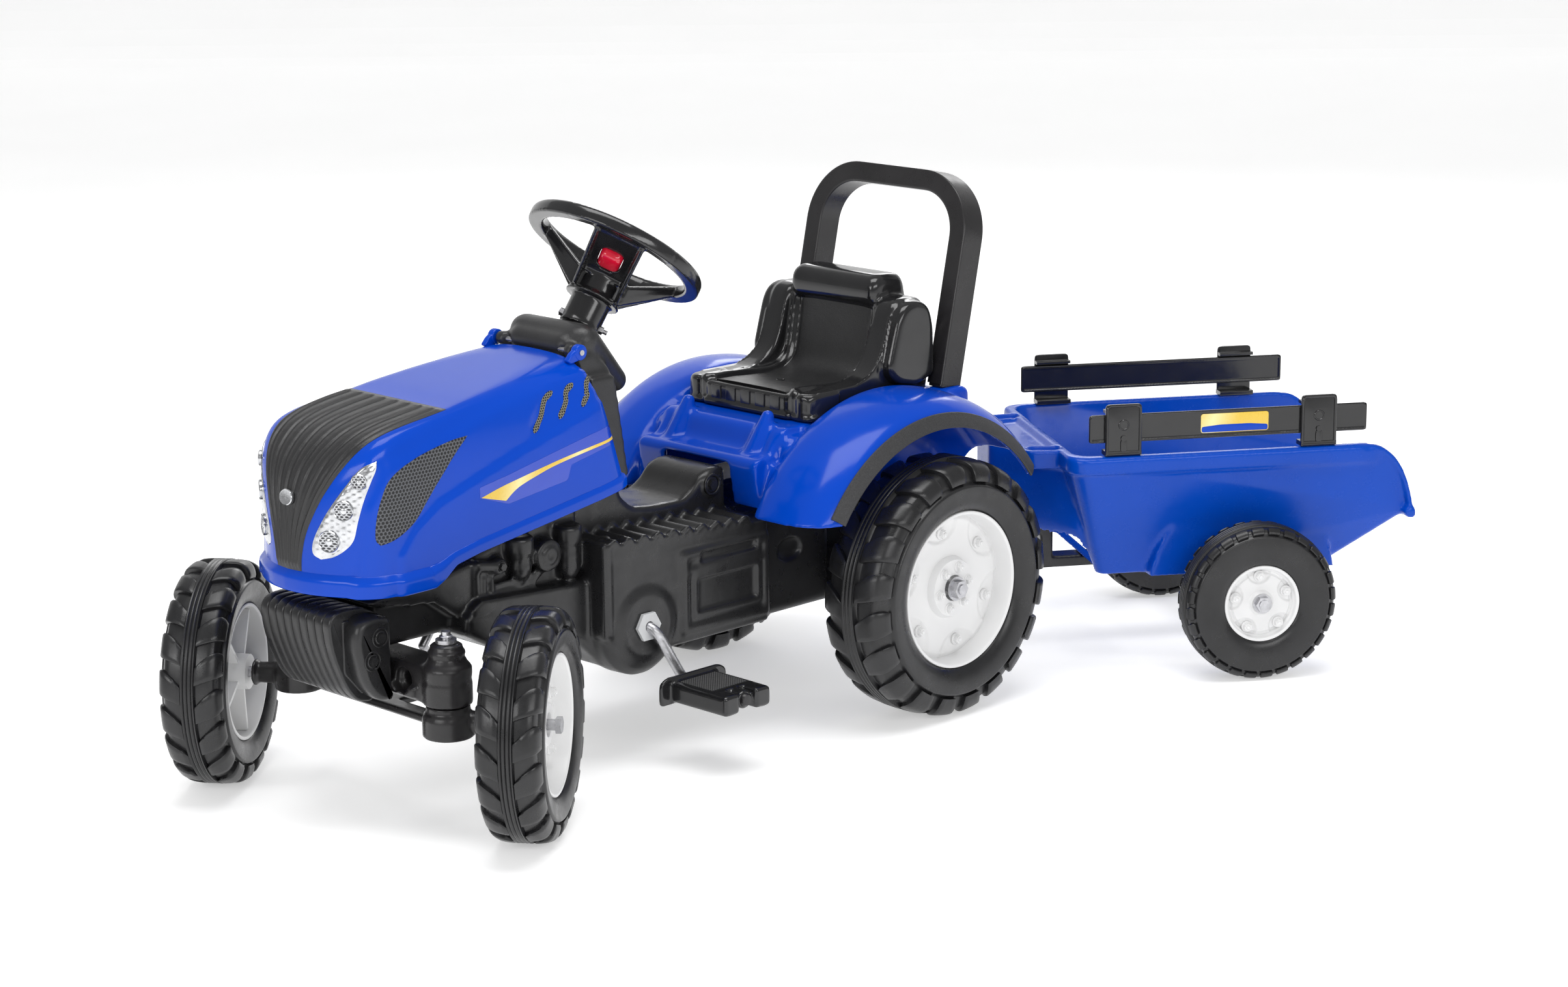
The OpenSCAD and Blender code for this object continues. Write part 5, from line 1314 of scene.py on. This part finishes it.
# ---------------------------------------------------------------- trailer
def posts(*rows):
    """Round upright posts on both sides, as (x, y, z, radius, height)."""
    return [put(lathe([(0, z), (r, z), (r, z + h), (0, z + h)], 32), shift(x, s * y, 0)) for x, y, z, r,
            h in rows for s in (1, -1)]


tub = [hull(*posts((-200, 134, 266, 24, 4), (-530, 146, 266, 12, 4), (-552, 147, 262, 11, 4),
                   (-573, 148, 246, 10, 4), (-588, 149, 222, 9, 4),
                   (-595, 150, 186, 8, 4), (-236, 104, 114, 12, 2), (-500, 104, 114, 12, 2))),
       # bulges over the wheels
       both(rod((-397.6, 90, 100), (-397.6, 139.5, 100), 119, 117)),
       # band round the rim
       hull(*posts((-200, 138.5, 248, 25.5, 20), (-532, 154, 249, 10, 19), (-554, 153, 246, 8, 14))),
       # tail lip
       slab(rounded([(-604, 177), (-604, 190), (-596, 192), (-588, 186), (-594, 177)], 3), -171.5, 171.5, 3),
       # nose over the drawbar and the upright corner beside it
       hull(*posts((-122, 26, 176, 12, 88), (-206, 96, 172, 18, 92), (-204, 56, 122, 13, 60),
                   (-236, 96, 116, 10, 40)))]
for s in (1, -1):
    tub.append(sweep(spline([(-548, s * 157, 266), (-566, s * 157, 259), (-582, s * 158, 243),
                             (-593, s * 161, 218), (-599, s * 166, 186)], 30),
                     box2(6, 9, 2.5), up=(0, 1, 0)))
    tub.append(hull(rod((-150, s * 92, 246), (-150, s * 92, 269), 15, 17),
                    rod((-176, s * 96, 246), (-176, s * 96, 269), 13, 15)))
tub_inside = [hull(*posts((-203.5, 130.5, 280, 20.5, 30), (-538, 142.5, 280, 8.5, 30),
                          (-594, 146, 192, 5, 4), (-630, 146, 195, 5, 110),
                          (-239.5, 100.5, 117.5, 8.5, 2), (-500, 100.5, 117.5, 8.5, 2))),
              both(hull(*[rod((-397.6 + 113 * math.cos(a), 80, 100 + 113 * math.sin(a)),
                              (-397.6 + 113 * math.cos(a), 135.5, 100 + 113 * math.sin(a)),
                              1.0) for a in np.linspace(0.17, math.pi - 0.17, 30)])),
              hull(*posts((-124, 24, 160, 9, 100), (-206, 92, 160, 14, 100), (-204, 54, 100, 10, 80),
                          (-222, 92, 100, 8, 60)))]
for s in (1, -1):
    tub_inside.append(hull(rod((-152, s * 91, 262), (-152, s * 91, 280), 10, 12),
                           rod((-172, s * 94, 262), (-172, s * 94, 280), 8.5, 10)))
tub_inside.append(block(-560, -244, -220, 220, -60, 114.2))
piece("trailer_tub_shell", join(*tub), "trailer", BLUE_SATIN, "trailer_tub", m=TRAILER,
      voxel=2.4, soften=3,
      cut=join(*tub_inside), sharp=60)

draw = []
for z in (142, 162.3):
    draw.append(slab(rounded([(-60, -16), (0, -17), (14, -10), (17, 0), (14, 10), (0, 17), (-60, 16)], 6),
                     z, z + 7.4, 1.4, "xy"))
draw += [slab(rounded([(-196, -16), (-50, -16), (-50, 16), (-196, 16)], 2), 142, 169.7, 2, "xy"),
         slab([(-196, 99.5), (-180, 99.5), (-180, 150), (-196, 150)], -16, 16, 2),
         slab([(-420, 99.5), (-180, 99.5), (-180, 113.5), (-420, 113.5)], -16, 16, 2),
         slab(rounded([(-411.6, 80), (-383.6, 80), (-383.6, 113.6), (-411.6, 113.6)], 4), -130, 130, 2)]
piece("drawbar_moulding", join(*draw), "trailer", SATIN, "drawbar", m=TRAILER, voxel=1.7,
      soften=1,
      cut=join(rod((0, 0, 130), (0, 0, 190), 6.1), rod((-397.6, -140, 94), (-397.6, 140, 94), 6.05)),
      sharp=60)

for name, side in SIDES.items():
    at = TRAILER @ on_side(side)
    long = rounded([(-544, 285), (-199, 285), (-199, 319), (-544, 319)], 4)
    board = [slab(long, 150.9, 154.1, 0.6)]
    loop = np.c_[long[:, 0], np.full(len(long), 152.5), long[:, 1]]
    centre = loop.mean(0)
    loop = loop + np.sign(centre - loop) * [1.9, 0, 1.9]
    board.append(sweep(loop, circle(1.9, 10, 2.5), up=(0, 1, 0), closed=True))
    piece(f"side_board_panel_{name}", join(*board), "trailer", BLACK, f"side_board_{name}",
          m=at, voxel=1.1, soften=1, sharp=60)
clips = []
for x in (-262, -504):
    face = rounded([(x, 270.4), (x + 44, 270.4), (x + 44, 332), (x, 332)], [2, 2, 5, 5])
    loop = np.c_[face[:, 0], np.full(len(face), 158.6), face[:, 1]]
    loop = loop + np.sign(loop.mean(0) - loop) * [1.8, 0, 1.8]
    clips += [slab(face, 155.4, 158.6, 0.6), sweep(loop, circle(1.8, 10), up=(0, 1, 0), closed=True),
              slab([(x, 270.3), (x + 44, 270.3), (x + 44, 275.8), (x, 275.8)], 142, 159.8, 0.8),
              slab([(x, 321.2), (x + 44, 321.2), (x + 44, 325), (x, 325)], 146, 157, 0.8),
              lathe([(0, 158), (6.6, 158), (6.6, 159.1), (6.0, 159.6), (5.0, 159.6), (4.6, 159.1),
                     (0, 159.1)], 32, "Y")]
    clips[-1] = put(clips[-1], shift(x + 22, 0, 307))
    # keyhole rib at the foot
    clips += [slab(rounded([(x + 18, 275), (x + 18, 288), (x + 22, 292), (x + 26, 288), (x + 26, 275)], 3),
                   157, 160.1, 0.8),
              rod((x + 22, 157, 291), (x + 22, 160.2, 291), 3.4)]
piece("board_bracket_clips", both(join(*clips)), "trailer", BLACK, "board_brackets",
      m=TRAILER, sharp=35)
tag = slab(rounded([(-420, 291.5), (-336, 291.5), (-336, 314.5), (-420, 314.5)], 3.5), 154.0, 155.15, 0.3)
piece("board_tag", tag, "trailer", SWOOSH, m=TRAILER)
tag = slab(rounded([(-419, 292.3), (-337, 292.3), (-337, 299), (-360, 301), (-396, 301), (-419, 299)], 2.5),
           154.6, 155.4, 0.2)
piece("board_tag_foot", tag, "trailer", BLUE, m=TRAILER)

# ---------------------------------------------------------------- materials of the other CAD parts
ZINC_NODES = ("kingpins kingpin_clips chain hitch_tongue hood_hinge_pin steering_shaft column_bolt "
              "stub_axle_left stub_axle_right chainwheel rear_axle rear_sprocket rear_nuts trailer_axle "
              "trailer_nuts hitch_pin")
for names, material in ((ZINC_NODES, STEEL), ("crank_bushes axle_bushes", NYLON)):
    for n in names.split():
        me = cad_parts[n].data
        me.materials.clear()
        me.materials.append(material)


# ---------------------------------------------------------------- stage, light, camera
def paper():
    m, nt, p, at = nodes_of("studio_floor", 0.9)
    nt.links.new(ramp(nt, noise(nt, at, 3, 3), [(0.3, (0.90, 0.90, 0.90)), (0.7, (0.93, 0.93, 0.93))]),
                 p.inputs["Base Color"])
    p.inputs["Emission Color"].default_value = (1, 1, 1, 1)
    p.inputs["Emission Strength"].default_value = 0.42
    return m


def area(name, at, aim, size, power, colour=(1, 1, 1)):
    d = bpy.data.lights.new(name, "AREA")
    d.shape, d.size, d.size_y, d.energy, d.color = "RECTANGLE", size[0], size[1], power, colour
    o = bpy.data.objects.new(name, d)
    o.location = at
    o.rotation_euler = (Vector(aim) - Vector(at)).to_track_quat("-Z", "Y").to_euler()
    bpy.context.scene.collection.objects.link(o)


# Paper that runs flat under the outfit and curves up far behind it
bend = [(-7000 - 3000 * math.sin(a), 3000 - 3000 * math.cos(a) - 0.6) for a in np.linspace(0, math.pi / 2,
        24)]
drop = [(14000, -0.6), (7000, -0.6), (0, -0.6)] + bend + [(-10000, 9000)]
floor = build("studio_floor", grid(np.array([[(x, y, z) for y in (-16000, 0, 16000)] for x, z in drop],
                                            float)), turn("Z", 45))
floor.data.materials.append(paper())

world = bpy.data.worlds.new("studio")
world.use_nodes = True
world.node_tree.nodes["Background"].inputs[0].default_value = (1, 1, 1, 1)
world.node_tree.nodes["Background"].inputs[1].default_value = 0.38
bpy.context.scene.world = world
area("key_top", (0.4, 0.3, 3.2), (0, 0, 0.2), (2.6, 1.6), 62)
area("side_strip", (1.0, 3.0, 1.5), (0, 0, 0.25), (2.4, 0.7), 26)
area("front_strip", (3.2, 0.4, 1.3), (0.3, -0.1, 0.3), (1.6, 0.8), 20)
area("rear_fill", (-2.8, -2.0, 2.2), (0, 0, 0.2), (1.8, 1.2), 26)

camera = bpy.data.objects.new("camera", bpy.data.cameras.new("camera"))
bpy.context.scene.collection.objects.link(camera)
eye, aim, roll = Vector((2.7005, 2.5922, 1.1452)), Vector((0.0219, -0.0738, 0.2407)), -0.008
camera.matrix_world = Matrix.Translation(eye) @ (aim - eye).to_track_quat("-Z",
        "Y").to_matrix().to_4x4() @ Matrix.Rotation(roll, 4, "Z")
camera.data.sensor_width, camera.data.lens = 36.0, 76.51
camera.data.clip_start, camera.data.clip_end = 0.1, 60
bpy.context.scene.camera = camera
bpy.context.scene.view_settings.view_transform = "Standard"
